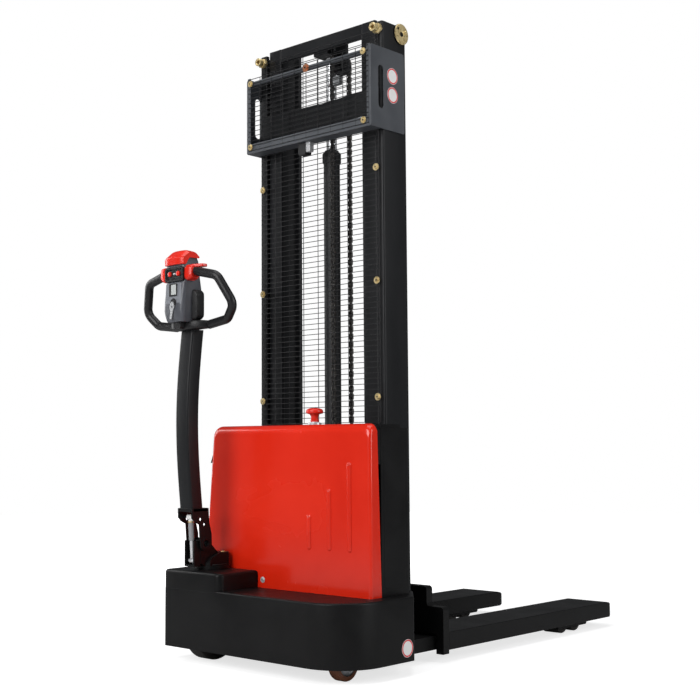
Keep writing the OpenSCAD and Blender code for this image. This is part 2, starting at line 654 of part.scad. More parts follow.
// Side plate of the arm's foot, from the pivot up to the arm
module foot_view() {
    rear = arm_rear - 2;
    translate([pivot_y, pivot_z]) circle(r = 25, $fn = 64);
    polygon([[pivot_y - 22, pivot_z + 8], [pivot_y - 30, pivot_z + 62], [rear + 12, pivot_z + 72],
             [rear, pivot_z + 84], [rear, arm_foot_z], [pivot_y + 10, arm_foot_z],
             [pivot_y + 14, pivot_z + 66], [pivot_y + 24, pivot_z + 30], [pivot_y + 24, pivot_z]]);
}
module tiller_arm() color([0.09, 0.09, 0.1]) place() {
    plate = 6;
    half = arm_w / 2;
    side_view(steer_x - half, steer_x + half) arm_view();
    for (x = [steer_x - half - plate, steer_x + half]) difference() {
        side_view(x, x + plate) foot_view();
        for (hole = [[-25, 79, 5], [-8, 62, 4.5]])
            translate([0, pivot_y + hole[0], pivot_z + hole[1]]) along_x(x - 1, x + plate + 1, hole[2]);
    }
    // foot plate under the arm
    box([steer_x - half - plate, arm_rear - 2, arm_foot_z - 12],
        [steer_x + half + plate, pivot_y + 10, arm_foot_z]);
    // hollow pivot and the strut's upper pin
    difference() {
        translate([0, pivot_y, pivot_z]) along_x(steer_x - half - plate, steer_x + half + plate, pin_r - 0.05);
        translate([0, pivot_y, pivot_z]) along_x(steer_x - 60, steer_x + 60, pin_bore);
    }
    translate([0, strut_top[0], strut_top[1]])
        along_x(steer_x - half - eps, steer_x + half + eps, strut_pin_r - 0.05);
}

key_z = head_z0 + 84;
module key_bore(y0, y1) translate([steer_x + 4, 0, key_z]) along_y(y0, y1, 12);
// Rear and front upper corners of the head, shared with the cap
head_top_rear = [head_y - 50, head_z0 + 206];
head_top_front = [head_y + 26, head_z0 + 226];

module tiller_head() color([0.3, 0.31, 0.34]) place() {
    wing = 70;
    yoke = 86;
    yoke_t = 30;
    difference() {
        side_view(steer_x - head_hw, steer_x + head_hw)
            polygon([[head_y - 44, head_z0 + yoke_t], [head_y - 54, head_z0 + 60],
                     [head_y - 43, head_z0 + 170], head_top_rear, head_top_front,
                     [head_y + 40, head_z0 + 130], [head_y + 34, head_z0 + yoke_t]]);
        key_bore(head_y - 60, head_y - 38);
    }
    for (x = [steer_x - wing, steer_x + head_hw])
        box([x - eps, head_y - 10, head_z0 + yoke_t], [x + wing - head_hw + eps, head_y + 30, head_z0 + 130]);
    box([steer_x - yoke, head_y - 12, head_z0], [steer_x + yoke, head_y + 34, head_z0 + yoke_t + eps]);
}

// A tube in the XY plane through the given corners, each bent to the same radius
function heading(d) = atan2(d[1], d[0]);
function turn(p, i) = let (a = heading(p[i + 1] - p[i]) - heading(p[i] - p[i - 1]))
    a > 180 ? a - 360 : a < -180 ? a + 360 : a;
function trim(p, i, bend) = bend * tan(abs(turn(p, i)) / 2);
// The points of one bend, as x, y and heading
function bend_points(p, i, bend, n) =
    let (h = heading(p[i] - p[i - 1]), a = turn(p, i), side = sign(a), t = trim(p, i, bend),
         cx = p[i][0] - t * cos(h) - side * bend * sin(h), cy = p[i][1] - t * sin(h) + side * bend * cos(h))
    [for (k = [0 : n]) let (g = h + a * k / n) [cx + side * bend * sin(g), cy - side * bend * cos(g), g]];
function end_point(p, d) = [p[0], p[1], heading(d)];
function tube_path(p, bend, n) = let (last = len(p) - 1)
    concat([end_point(p[0], p[1] - p[0])], [for (i = [1 : last - 1]) each bend_points(p, i, bend, n)],
           [end_point(p[last], p[last] - p[last - 1])]);
module bent_tube(p, r, bend, sides = 16) {
    path = tube_path(p, bend, 5);
    n = len(path);
    points = [for (q = path, k = [0 : sides - 1]) let (a = 360 * k / sides)
        [q[0] - r * cos(a) * sin(q[2]), q[1] + r * cos(a) * cos(q[2]), r * sin(a)]];
    walls = [for (i = [0 : n - 2], k = [0 : sides - 1]) let (m = (k + 1) % sides)
        [i * sides + k, i * sides + m, (i + 1) * sides + m, (i + 1) * sides + k]];
    caps = [[for (k = [sides - 1 : -1 : 0]) k], [for (k = [0 : sides - 1]) (n - 1) * sides + k]];
    polyhedron(points, concat(walls, caps));
}
// The loop leans to the rear towards its top
handle_lean = 18;
module handle_loop() {
    hw = handle_half - handle_d / 2;
    translate([0, head_y + 12, head_z0 + 96]) rotate([90 + handle_lean, 0, 0])
        bent_tube([[head_hw - 4, 102], [hw - 46, 72], [hw, -28], [hw - 44, -74], [80, -86]], handle_d / 2, 34);
}
module handle_loop_right() color([0.05, 0.05, 0.05]) place()
    translate([steer_x, 0, 0]) handle_loop();
module handle_loop_left() color([0.05, 0.05, 0.05]) place()
    translate([steer_x, 0, 0]) mirror([1, 0, 0]) handle_loop();

module head_cap() color([0.85, 0.12, 0.08]) place()
    side_view(steer_x - head_hw - 2, steer_x + head_hw + 2)
        polygon([head_top_rear, [head_y - 52, head_z0 + 236], [head_y - 22, tiller_h],
                 [head_y + 18, tiller_h - 4], [head_y + 30, head_z0 + 229], head_top_front]);
// Paddles beside the head, each with its wing over the root of the handle
module thumb_rockers() color([0.85, 0.12, 0.08]) place() translate([steer_x, 0, 0]) both() {
    wing_z = head_z0 + 210;
    back = head_y - 50;
    box([head_hw, back, wing_z - 58], [head_hw + 28, back + 13, wing_z - 6]);
    // beside the cap
    box([head_hw + 2, back, wing_z - 6 - eps], [head_hw + 28, back + 13, wing_z + eps]);
    box([head_hw + 2, back, wing_z], [110, back + 46, wing_z + 8]);
}
module key_switch() color([0.1, 0.1, 0.1]) place() key_bore(head_rear, head_y - 38);

// Gas strut between the tiller and the casting
strut_barrel_l = 76;
strut_r = 9.5;
strut_l = norm(strut_top - strut_foot);
module strut_frame()
    translate([steer_x, strut_top[0], strut_top[1]]) rotate([180 + strut_lean, 0, 0]) children();
module strut_barrel() color([0.7, 0.71, 0.73]) place() strut_frame() difference() {
    union() {
        cylinder(h = strut_barrel_l, r = strut_r, $fn = 48);
        along_x(-12, 12, 9);
    }
    translate([0, 0, 12]) cylinder(h = strut_barrel_l, r = 7.6, $fn = 48);
    along_x(-13, 13, strut_pin_r);
}
module strut_rod() color([0.8, 0.81, 0.83]) place() strut_frame() {
    translate([0, 0, strut_barrel_l - 5]) cylinder(h = strut_l - strut_barrel_l + 5, r = 7, $fn = 48);
    translate([0, 0, strut_l]) along_x(-10, 10, 7.5);
    translate([0, 0, strut_l]) along_x(-17, 17, strut_pin_r);
}

// ---------------------------------------------------------------- small wheels

module caster_fork() color([0.6, 0.6, 0.62]) place() {
    half = caster_wheel_w / 2 + 3;
    cheek = 5;
    top = caster_top - 0.3;
    axle_y = caster_y - caster_trail;
    axle_z = caster_d / 2;
    translate([caster_x, caster_y, top - 12]) cylinder(h = 12, r = 34, $fn = 48);
    for (x = [caster_x - half - cheek, caster_x + half])
        side_view(x, x + cheek)
            polygon([[caster_y - 26, top - 11], [caster_y + 28, top - 11],
                     [axle_y + 16, axle_z - 12], [axle_y - 14, axle_z - 12]]);
    box([caster_x - half - cheek, caster_y - 26, top - 18], [caster_x + half + cheek, caster_y + 28, top - 11]);
    translate([0, axle_y, axle_z]) along_x(caster_x - half - 8, caster_x + half + 8, 7.95);
}
module caster_wheel() color([0.62, 0.3, 0.1]) place()
    translate([0, caster_y - caster_trail, caster_d / 2]) difference() {
        along_x(caster_x - caster_wheel_w / 2, caster_x + caster_wheel_w / 2, caster_d / 2);
        along_x(caster_x - caster_wheel_w, caster_x + caster_wheel_w, 8);
    }

module load_wheel(x, y) color([0.2, 0.18, 0.16]) place() translate([0, y, load_wheel_d / 2]) difference() {
    along_x(x - load_wheel_w / 2, x + load_wheel_w / 2, load_wheel_d / 2);
    along_x(x - load_wheel_w, x + load_wheel_w, load_axle_r + 0.05);
}
module load_wheel_left_rear() load_wheel(-leg_x, load_y0);
module load_wheel_left_front() load_wheel(-leg_x, load_y1);
module load_wheel_right_rear() load_wheel(leg_x, load_y0);
module load_wheel_right_front() load_wheel(leg_x, load_y1);

base_frame();
drive_block();
straddle_legs();
fixed_mast();
lift_cylinder();
guard_frame();
guard_mesh();
rear_hood();
hood_panels();
stop_button();
battery_block();
pump_block();
roller_caps();
top_rollers();
limit_switch();
sliding_mast();
mast_rollers();
cylinder_rod();
chain_sheave();
chain_rear_run();
chain_front_run();
carriage_frame();
carriage_rollers();
shank_plate();
fork_left();
fork_right();
pivot_casting();
drive_unit();
drive_wheel_tyre();
drive_wheel_hub();
tiller_arm();
tiller_head();
handle_loop_left();
handle_loop_right();
head_cap();
thumb_rockers();
key_switch();
strut_barrel();
strut_rod();
caster_fork();
caster_wheel();
load_wheel_left_rear();
load_wheel_left_front();
load_wheel_right_rear();
load_wheel_right_front();
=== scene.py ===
import math

import bmesh
import bpy
from mathutils import Matrix, Vector


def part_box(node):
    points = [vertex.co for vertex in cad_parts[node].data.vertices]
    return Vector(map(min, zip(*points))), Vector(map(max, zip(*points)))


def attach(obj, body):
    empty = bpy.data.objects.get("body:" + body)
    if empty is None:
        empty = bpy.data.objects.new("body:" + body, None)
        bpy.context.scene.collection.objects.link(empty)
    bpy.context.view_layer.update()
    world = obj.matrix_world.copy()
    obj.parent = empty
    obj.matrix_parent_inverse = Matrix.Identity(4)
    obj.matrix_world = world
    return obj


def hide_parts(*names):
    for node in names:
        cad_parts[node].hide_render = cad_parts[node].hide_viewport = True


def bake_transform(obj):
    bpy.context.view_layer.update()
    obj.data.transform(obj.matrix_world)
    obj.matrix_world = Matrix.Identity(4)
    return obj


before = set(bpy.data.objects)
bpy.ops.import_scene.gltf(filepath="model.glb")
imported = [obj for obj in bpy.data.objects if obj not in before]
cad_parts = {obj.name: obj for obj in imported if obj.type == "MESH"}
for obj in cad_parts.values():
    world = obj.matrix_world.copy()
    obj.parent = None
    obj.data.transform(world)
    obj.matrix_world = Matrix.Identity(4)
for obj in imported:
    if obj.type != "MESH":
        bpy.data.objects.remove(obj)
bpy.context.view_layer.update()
print("frame loaded:", len(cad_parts), "nodes")

# Shapes are drawn in millimetres from the rear face of the fixed mast and the centre plane,
# and toRow carries them to the frame of the assembly in metres.
mastLow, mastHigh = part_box("fixed_mast")
channelDepth = 122
millimetre = 0.001
origin = Vector(((mastLow.x + mastHigh.x) / 2, mastHigh.y - channelDepth * millimetre, 0))
toRow = Matrix.Translation(origin) @ Matrix.Scale(millimetre, 4)


def rowPoint(x, y, z):
    return toRow @ Vector((x, y, z))


# ---- drawing helpers

def roundedOutline(points, radius, steps=5):
    outline = []
    for i, point in enumerate(points):
        r = radius[i] if isinstance(radius, (list, tuple)) else radius
        here = Vector(point)
        before = Vector(points[i - 1]) - here
        after = Vector(points[(i + 1) % len(points)]) - here
        if r <= 0:
            outline.append(tuple(here))
            continue
        half = before.angle(after) / 2
        reach = min(r / math.tan(half), before.length * 0.49, after.length * 0.49)
        r = reach * math.tan(half)
        middle = here + (before.normalized() + after.normalized()).normalized() * (r / math.sin(half))
        start = here + before.normalized() * reach - middle
        end = here + after.normalized() * reach - middle
        angle = math.atan2(start.y, start.x)
        sweep = (math.atan2(end.y, end.x) - angle + math.pi) % (2 * math.pi) - math.pi
        for k in range(steps + 1):
            a = angle + sweep * k / steps
            outline.append((middle.x + r * math.cos(a), middle.y + r * math.sin(a)))
    return outline


def insetOutline(outline, distance):
    count = len(outline)
    area = sum(outline[i - 1][0] * outline[i][1] - outline[i][0] * outline[i - 1][1] for i in range(count))
    side = 1 if area > 0 else -1
    moved = []
    for i in range(count):
        before = (Vector(outline[i]) - Vector(outline[i - 1])).normalized()
        after = (Vector(outline[(i + 1) % count]) - Vector(outline[i])).normalized()
        inA = Vector((-before.y, before.x)) * side
        inB = Vector((-after.y, after.x)) * side
        moved.append(tuple(Vector(outline[i]) + (inA + inB) * (distance / (1 + inA.dot(inB)))))
    return moved


def arcPoints(centreA, centreB, radius, fromDeg, toDeg, steps):
    return [(centreA + radius * math.cos(math.radians(fromDeg + (toDeg - fromDeg) * k / steps)),
             centreB + radius * math.sin(math.radians(fromDeg + (toDeg - fromDeg) * k / steps)))
            for k in range(steps + 1)]


def spot(axis, a, b, depth):
    return {"x": (depth, a, b), "y": (a, depth, b), "z": (a, b, depth)}[axis]


def addLoft(bm, loops, capped=True):
    rings = [[bm.verts.new(p) for p in loop] for loop in loops]
    for lower, upper in zip(rings, rings[1:]):
        for i in range(len(lower)):
            j = (i + 1) % len(lower)
            bm.faces.new((lower[i], lower[j], upper[j], upper[i]))
    if capped:
        bm.faces.new(rings[0])
        bm.faces.new(rings[-1])


def addPrism(bm, outline, axis, low, high):
    addLoft(bm, [[spot(axis, a, b, depth) for a, b in outline] for depth in (low, high)])


def addBlock(bm, low, high):
    addPrism(bm, [(low[0], low[1]), (high[0], low[1]), (high[0], high[1]), (low[0], high[1])],
             "z", low[2], high[2])


def turningFrame(centre, axis):
    along = Vector(axis).normalized()
    across = along.orthogonal().normalized()
    return Vector(centre), along, across, along.cross(across)


def addLathe(bm, profile, centre, axis, sides=48):
    base, along, across, other = turningFrame(centre, axis)
    rings = []
    for radius, height in profile:
        middle = base + along * height
        if radius < 1e-6:
            rings.append([bm.verts.new(middle)])
            continue
        rings.append([bm.verts.new(middle + (across * math.cos(a) + other * math.sin(a)) * radius)
                      for a in (2 * math.pi * k / sides for k in range(sides))])
    for lower, upper in zip(rings, rings[1:]):
        for i in range(sides):
            j = (i + 1) % sides
            corners = [lower[i % len(lower)], lower[j % len(lower)],
                       upper[j % len(upper)], upper[i % len(upper)]]
            corners = [c for n, c in enumerate(corners) if c not in corners[:n]]
            if len(corners) > 2:
                bm.faces.new(corners)
    for ring in (rings[0], rings[-1]):
        if len(ring) > 1:
            bm.faces.new(ring)


def addRing(bm, profile, centre, axis, sides=48):
    # a closed profile turned round the axis, open in the middle
    base, along, across, other = turningFrame(centre, axis)
    rings = []
    for k in range(sides):
        a = 2 * math.pi * k / sides
        out = across * math.cos(a) + other * math.sin(a)
        rings.append([bm.verts.new(base + along * h + out * r) for r, h in profile])
    for k in range(sides):
        here, beyond = rings[k], rings[(k + 1) % sides]
        for i in range(len(profile)):
            j = (i + 1) % len(profile)
            bm.faces.new((here[i], here[j], beyond[j], beyond[i]))


def addTube(bm, path, radius, sides):
    points = [Vector(p) for p in path]
    loops = []
    side = None
    for i, point in enumerate(points):
        ahead = (points[min(i + 1, len(points) - 1)] - points[max(i - 1, 0)]).normalized()
        side = ahead.orthogonal() if side is None else side - ahead * side.dot(ahead)
        side.normalize()
        up = ahead.cross(side)
        loops.append([point + side * (radius * math.cos(a)) + up * (radius * math.sin(a))
                      for a in (2 * math.pi * k / sides for k in range(sides))])
    addLoft(bm, loops)


def bakeModifiers(obj):
    bpy.context.view_layer.update()
    depsgraph = bpy.context.evaluated_depsgraph_get()
    shaped = bpy.data.meshes.new_from_object(obj.evaluated_get(depsgraph),
                                             preserve_all_data_layers=True, depsgraph=depsgraph)
    obj.modifiers.clear()
    plain = obj.data
    obj.data = shaped
    bpy.data.meshes.remove(plain)
    shaped.name = obj.name


def linkObject(name, mesh):
    obj = bpy.data.objects.new(name, mesh)
    bpy.context.scene.collection.objects.link(obj)
    return obj


def meshFrom(bm, name, matrix=None):
    bmesh.ops.recalc_face_normals(bm, faces=bm.faces)
    if matrix is not None:
        bm.transform(matrix)
    mesh = bpy.data.meshes.new(name)
    bm.to_mesh(mesh)
    bm.free()
    return mesh


def handOver(obj, body, replaces=()):
    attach(obj, body)
    if replaces:
        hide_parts(*replaces)
    return obj


def finishPiece(name, bm, material, body, replaces=(), bevel=0, segments=2, thickness=0,
                cut=None, matrix=toRow, smoothAngle=36):
    mesh = meshFrom(bm, name, matrix)
    mesh.materials.append(material)
    obj = linkObject(name, mesh)
    mesh.shade_smooth()
    cutter = None
    if thickness:
        wall = obj.modifiers.new("wall", "SOLIDIFY")
        wall.thickness = thickness * millimetre
        wall.offset = -1
        wall.use_even_offset = True
    if cut is not None:
        cutter = linkObject(name + "Cutter", meshFrom(cut, name + "Cutter", toRow))
        opening = obj.modifiers.new("opening", "BOOLEAN")
        opening.operation = "DIFFERENCE"
        opening.solver = "EXACT"
        opening.object = cutter
    if bevel:
        edges = obj.modifiers.new("edges", "BEVEL")
        edges.width = bevel * millimetre
        edges.segments = segments
        edges.limit_method = "ANGLE"
        edges.angle_limit = math.radians(32)
        edges.use_clamp_overlap = True
        evened = obj.modifiers.new("evened", "WEIGHTED_NORMAL")
        evened.keep_sharp = False
    if obj.modifiers:
        bakeModifiers(obj)
    if not bevel:
        obj.data.set_sharp_from_angle(angle=math.radians(smoothAngle))
    if cutter:
        spare = cutter.data
        bpy.data.objects.remove(cutter)
        bpy.data.meshes.remove(spare)
    return handOver(obj, body, replaces)


def cadPiece(node, name, material, body, bevel=1.0, segments=2):
    # the CAD solid with its corners broken
    bm = bmesh.new()
    bm.from_mesh(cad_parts[node].data)
    bmesh.ops.remove_doubles(bm, verts=bm.verts, dist=0.00003)
    bmesh.ops.dissolve_limit(bm, angle_limit=math.radians(0.5), verts=bm.verts, edges=bm.edges)
    return finishPiece(name, bm, material, body, (node,), bevel, segments, matrix=None)


# ---- node tree helpers

def newTree(name, inputs):
    tree = bpy.data.node_groups.new(name, "GeometryNodeTree")
    tree.interface.new_socket("Geometry", in_out="INPUT", socket_type="NodeSocketGeometry")
    sockets = {}
    for label, kind, value in inputs:
        socket = tree.interface.new_socket(label, in_out="INPUT", socket_type="NodeSocket" + kind)
        if value is not None:
            socket.default_value = value
        sockets[label] = socket.identifier
    tree.interface.new_socket("Geometry", in_out="OUTPUT", socket_type="NodeSocketGeometry")
    return tree, tree.nodes.new("NodeGroupInput"), tree.nodes.new("NodeGroupOutput"), sockets


def addNode(tree, kind, settings=None, **links):
    # links name the node's inputs; underscores stand for spaces
    node = tree.nodes.new(kind)
    for key, value in (settings or {}).items():
        setattr(node, key, value)
    for label, source in links.items():
        target = node.inputs[label.replace("_", " ")]
        if isinstance(source, bpy.types.NodeSocket):
            tree.links.new(source, target)
        else:
            target.default_value = source
    return node


def runTree(name, mesh, tree, sockets, values, smoothAngle=40):
    obj = linkObject(name, mesh)
    build = obj.modifiers.new("build", "NODES")
    build.node_group = tree
    for label, value in values.items():
        build[sockets[label]] = value
    bakeModifiers(obj)
    obj.data.shade_smooth()
    obj.data.set_sharp_from_angle(angle=math.radians(smoothAngle))
    return obj


def pointMesh(name, points, aims=None, lengths=None):
    mesh = bpy.data.meshes.new(name)
    mesh.from_pydata([tuple(rowPoint(*p)) for p in points], [], [])
    if aims:
        aimed = mesh.attributes.new("aim", "FLOAT_VECTOR", "POINT")
        for i, aim in enumerate(aims):
            aimed.data[i].vector = aim
    if lengths:
        run = mesh.attributes.new("run", "FLOAT", "POINT")
        for i, length in enumerate(lengths):
            run.data[i].value = length * millimetre
    return mesh


# ---- finishes

def newGrainGroup():
    # fine grain for the bump and slow patches for colour and gloss
    tree = bpy.data.node_groups.new("surfaceGrain", "ShaderNodeTree")
    for label, kind, value in (("Vector", "Vector", None), ("Grain Scale", "Float", 900.0),
                               ("Patch Scale", "Float", 7.0)):
        socket = tree.interface.new_socket(label, in_out="INPUT", socket_type="NodeSocket" + kind)
        if value is not None:
            socket.default_value = value
    for label in ("Grain", "Patches"):
        tree.interface.new_socket(label, in_out="OUTPUT", socket_type="NodeSocketFloat")
    source = tree.nodes.new("NodeGroupInput")
    result = tree.nodes.new("NodeGroupOutput")
    vector = source.outputs["Vector"]
    fine = addNode(tree, "ShaderNodeTexNoise", Vector=vector, Scale=source.outputs["Grain Scale"],
                   Detail=2.0, Roughness=0.55)
    slow = addNode(tree, "ShaderNodeTexNoise", Vector=vector, Scale=source.outputs["Patch Scale"],
                   Detail=4.0, Roughness=0.6, Distortion=0.4)
    spread = addNode(tree, "ShaderNodeMapRange", Value=slow.outputs[0])
    spread.inputs["From Min"].default_value = 0.32
    spread.inputs["From Max"].default_value = 0.68
    tree.links.new(fine.outputs[0], result.inputs["Grain"])
    tree.links.new(spread.outputs[0], result.inputs["Patches"])
    return tree


grainGroup = newGrainGroup()


def makeFinish(name, light, dark, roughness, spread=0.06, grainScale=900.0, bump=0.12, distance=0.0003,
               patchScale=7.0, metallic=0.0, coat=0.0, coatRoughness=0.12, stretch=(1, 1, 1),
               specular=0.5):
    material = bpy.data.materials.new(name)
    material.use_nodes = True
    tree = material.node_tree
    shader = tree.nodes["Principled BSDF"]
    place = tree.nodes.new("ShaderNodeTexCoord")
    mapping = addNode(tree, "ShaderNodeMapping", Vector=place.outputs["Object"])
    mapping.inputs["Scale"].default_value = stretch
    grain = tree.nodes.new("ShaderNodeGroup")
    grain.node_tree = grainGroup
    grain.inputs["Grain Scale"].default_value = grainScale
    grain.inputs["Patch Scale"].default_value = patchScale
    tree.links.new(mapping.outputs["Vector"], grain.inputs["Vector"])
    tone = tree.nodes.new("ShaderNodeMix")
    tone.data_type = "RGBA"
    tone.inputs["A"].default_value = (*dark, 1)
    tone.inputs["B"].default_value = (*light, 1)
    tree.links.new(grain.outputs["Patches"], tone.inputs["Factor"])
    tree.links.new(tone.outputs["Result"], shader.inputs["Base Color"])
    gloss = addNode(tree, "ShaderNodeMapRange", Value=grain.outputs["Patches"])
    gloss.inputs["To Min"].default_value = roughness - spread
    gloss.inputs["To Max"].default_value = roughness + spread
    tree.links.new(gloss.outputs["Result"], shader.inputs["Roughness"])
    relief = addNode(tree, "ShaderNodeBump", Height=grain.outputs["Grain"])
    relief.inputs["Strength"].default_value = bump
    relief.inputs["Distance"].default_value = distance
    tree.links.new(relief.outputs["Normal"], shader.inputs["Normal"])
    shader.inputs["Metallic"].default_value = metallic
    shader.inputs["Coat Weight"].default_value = coat
    shader.inputs["Coat Roughness"].default_value = coatRoughness
    shader.inputs["Specular IOR Level"].default_value = specular
    return material


blackPaint = makeFinish("blackPowderCoat", (0.0075, 0.0075, 0.0078), (0.005, 0.005, 0.0053), 0.4, bump=0.2,
                        grainScale=620.0, distance=0.0004, specular=0.16)
# the mast black is a little lighter and bluer than the other blacks: painted bluish light from the right
mastPaintBlueLightTint = makeFinish("mastBlackPaintedBlueLight", (0.012, 0.0125, 0.014), (0.008, 0.0085, 0.0095), 0.4, bump=0.14,
                       patchScale=4.0, stretch=(1, 1, 0.25), grainScale=500.0, specular=0.22)
# the guard frame's black is painted a lighter blue-grey: painted sheen for the light falling on its plates
# from the right
frameBlackPaintedSheen = makeFinish("guardFrameBlackPaintedSheen", (0.068, 0.074, 0.084), (0.052, 0.057, 0.066), 0.42, bump=0.15)
wirePaint = makeFinish("wireBlack", (0.009, 0.009, 0.01), (0.006, 0.006, 0.007), 0.5, bump=0.1,
                       specular=0.3)
redPaint = makeFinish("hoodRed", (0.78, 0.024, 0.006), (0.7, 0.018, 0.004), 0.26, spread=0.03, bump=0.05,
                      grainScale=160.0, distance=0.0005, specular=0.3, coat=0.4, coatRoughness=0.1,
                      patchScale=3.0)
redPlastic = makeFinish("redPlastic", (0.78, 0.022, 0.008), (0.68, 0.016, 0.006), 0.33, bump=0.08, coat=0.2,
                        specular=0.35)
brightSteel = makeFinish("brightSteel", (0.78, 0.79, 0.8), (0.66, 0.67, 0.69), 0.26, metallic=0.5,
                         bump=0.04, stretch=(1, 1, 6))
darkPlastic = makeFinish("darkPlastic", (0.012, 0.012, 0.013), (0.008, 0.008, 0.009), 0.46, bump=0.3,
                         grainScale=1500.0, specular=0.35)
gripRubber = makeFinish("gripRubber", (0.009, 0.009, 0.01), (0.006, 0.006, 0.007), 0.4, bump=0.25,
                        grainScale=1100.0, specular=0.4)
castHousing = makeFinish("headHousingGrey", (0.085, 0.09, 0.105), (0.062, 0.066, 0.078), 0.4, bump=0.3,
                         grainScale=1400.0)
panelGrey = makeFinish("keyPanelGrey", (0.2, 0.21, 0.235), (0.155, 0.165, 0.185), 0.42, bump=0.28,
                       grainScale=1400.0)
yellowZinc = makeFinish("yellowZinc", (0.9, 0.74, 0.4), (0.74, 0.56, 0.26), 0.3, metallic=0.7, bump=0.08,
                        patchScale=70.0, spread=0.08)
plainSteel = makeFinish("plainSteel", (0.42, 0.43, 0.45), (0.28, 0.29, 0.3), 0.34, metallic=1.0, bump=0.1,
                        patchScale=40.0)
chainSteel = makeFinish("chainSteel", (0.2, 0.19, 0.18), (0.09, 0.085, 0.08), 0.42, metallic=1.0, bump=0.15,
                        patchScale=120.0)
darkTread = makeFinish("darkTread", (0.03, 0.027, 0.025), (0.016, 0.014, 0.013), 0.62, bump=0.3,
                       grainScale=700.0)
amberTread = makeFinish("amberTread", (0.2, 0.062, 0.02), (0.12, 0.036, 0.012), 0.42, bump=0.15,
                        grainScale=500.0)
greyPlastic = makeFinish("greyPlastic", (0.3, 0.31, 0.32), (0.22, 0.23, 0.24), 0.45, bump=0.2)
darkSteel = makeFinish("darkSteel", (0.05, 0.05, 0.055), (0.028, 0.028, 0.03), 0.36, metallic=0.8,
                       bump=0.12, patchScale=60.0)
displayGlass = makeFinish("displayWindow", (0.56, 0.58, 0.57), (0.47, 0.49, 0.48), 0.16, bump=0.01,
                          coat=0.8, coatRoughness=0.04)
labelWhite = makeFinish("labelWhite", (0.86, 0.86, 0.85), (0.8, 0.8, 0.79), 0.38, bump=0.03, coat=0.3)
labelRed = makeFinish("labelRed", (0.75, 0.04, 0.05), (0.65, 0.03, 0.04), 0.38, bump=0.03, coat=0.3)
copperScrew = makeFinish("copperScrew", (0.78, 0.36, 0.2), (0.6, 0.24, 0.12), 0.3, metallic=1.0, bump=0.08)
print("finishes ready:", len(bpy.data.materials))

# ---- camera, lights and floor

camera = {"place": (2.7995, -3.4227, 0.6951), "yaw": 43.07, "pitch": 4.93, "roll": -0.24,
          "lens": 62.36, "shiftX": 0.0538, "shiftY": -0.0115}


def placeCamera(settings):
    yaw, pitch, roll = (math.radians(settings[key]) for key in ("yaw", "pitch", "roll"))
    ahead = Vector((-math.sin(yaw) * math.cos(pitch), math.cos(yaw) * math.cos(pitch), math.sin(pitch)))
    right = Vector((math.cos(yaw), math.sin(yaw), 0))
    up = right.cross(ahead)
    rolledRight = right * math.cos(roll) + up * math.sin(roll)
    rolledUp = up * math.cos(roll) - right * math.sin(roll)
    eye = bpy.data.cameras.new("studioCamera")
    eye.lens = settings["lens"]
    eye.sensor_width = 36
    eye.shift_x = settings["shiftX"]
    eye.shift_y = settings["shiftY"]
    eye.clip_end = 60
    holder = bpy.data.objects.new("studioCamera", eye)
    bpy.context.scene.collection.objects.link(holder)
    holder.matrix_world = Matrix.Translation(settings["place"]) @ Matrix(
        (rolledRight, rolledUp, -ahead)).transposed().to_4x4()
    bpy.context.scene.camera = holder


def addSoftbox(name, place, target, width, height, power, colour=(1, 1, 1)):
    lamp = bpy.data.lights.new(name, "AREA")
    lamp.shape = "RECTANGLE"
    lamp.size = width
    lamp.size_y = height
    lamp.energy = power
    lamp.color = colour
    obj = bpy.data.objects.new(name, lamp)
    bpy.context.scene.collection.objects.link(obj)
    aim = (Vector(target) - Vector(place)).normalized()
    obj.matrix_world = Matrix.Translation(place) @ aim.to_track_quat("-Z", "Y").to_matrix().to_4x4()
    return obj


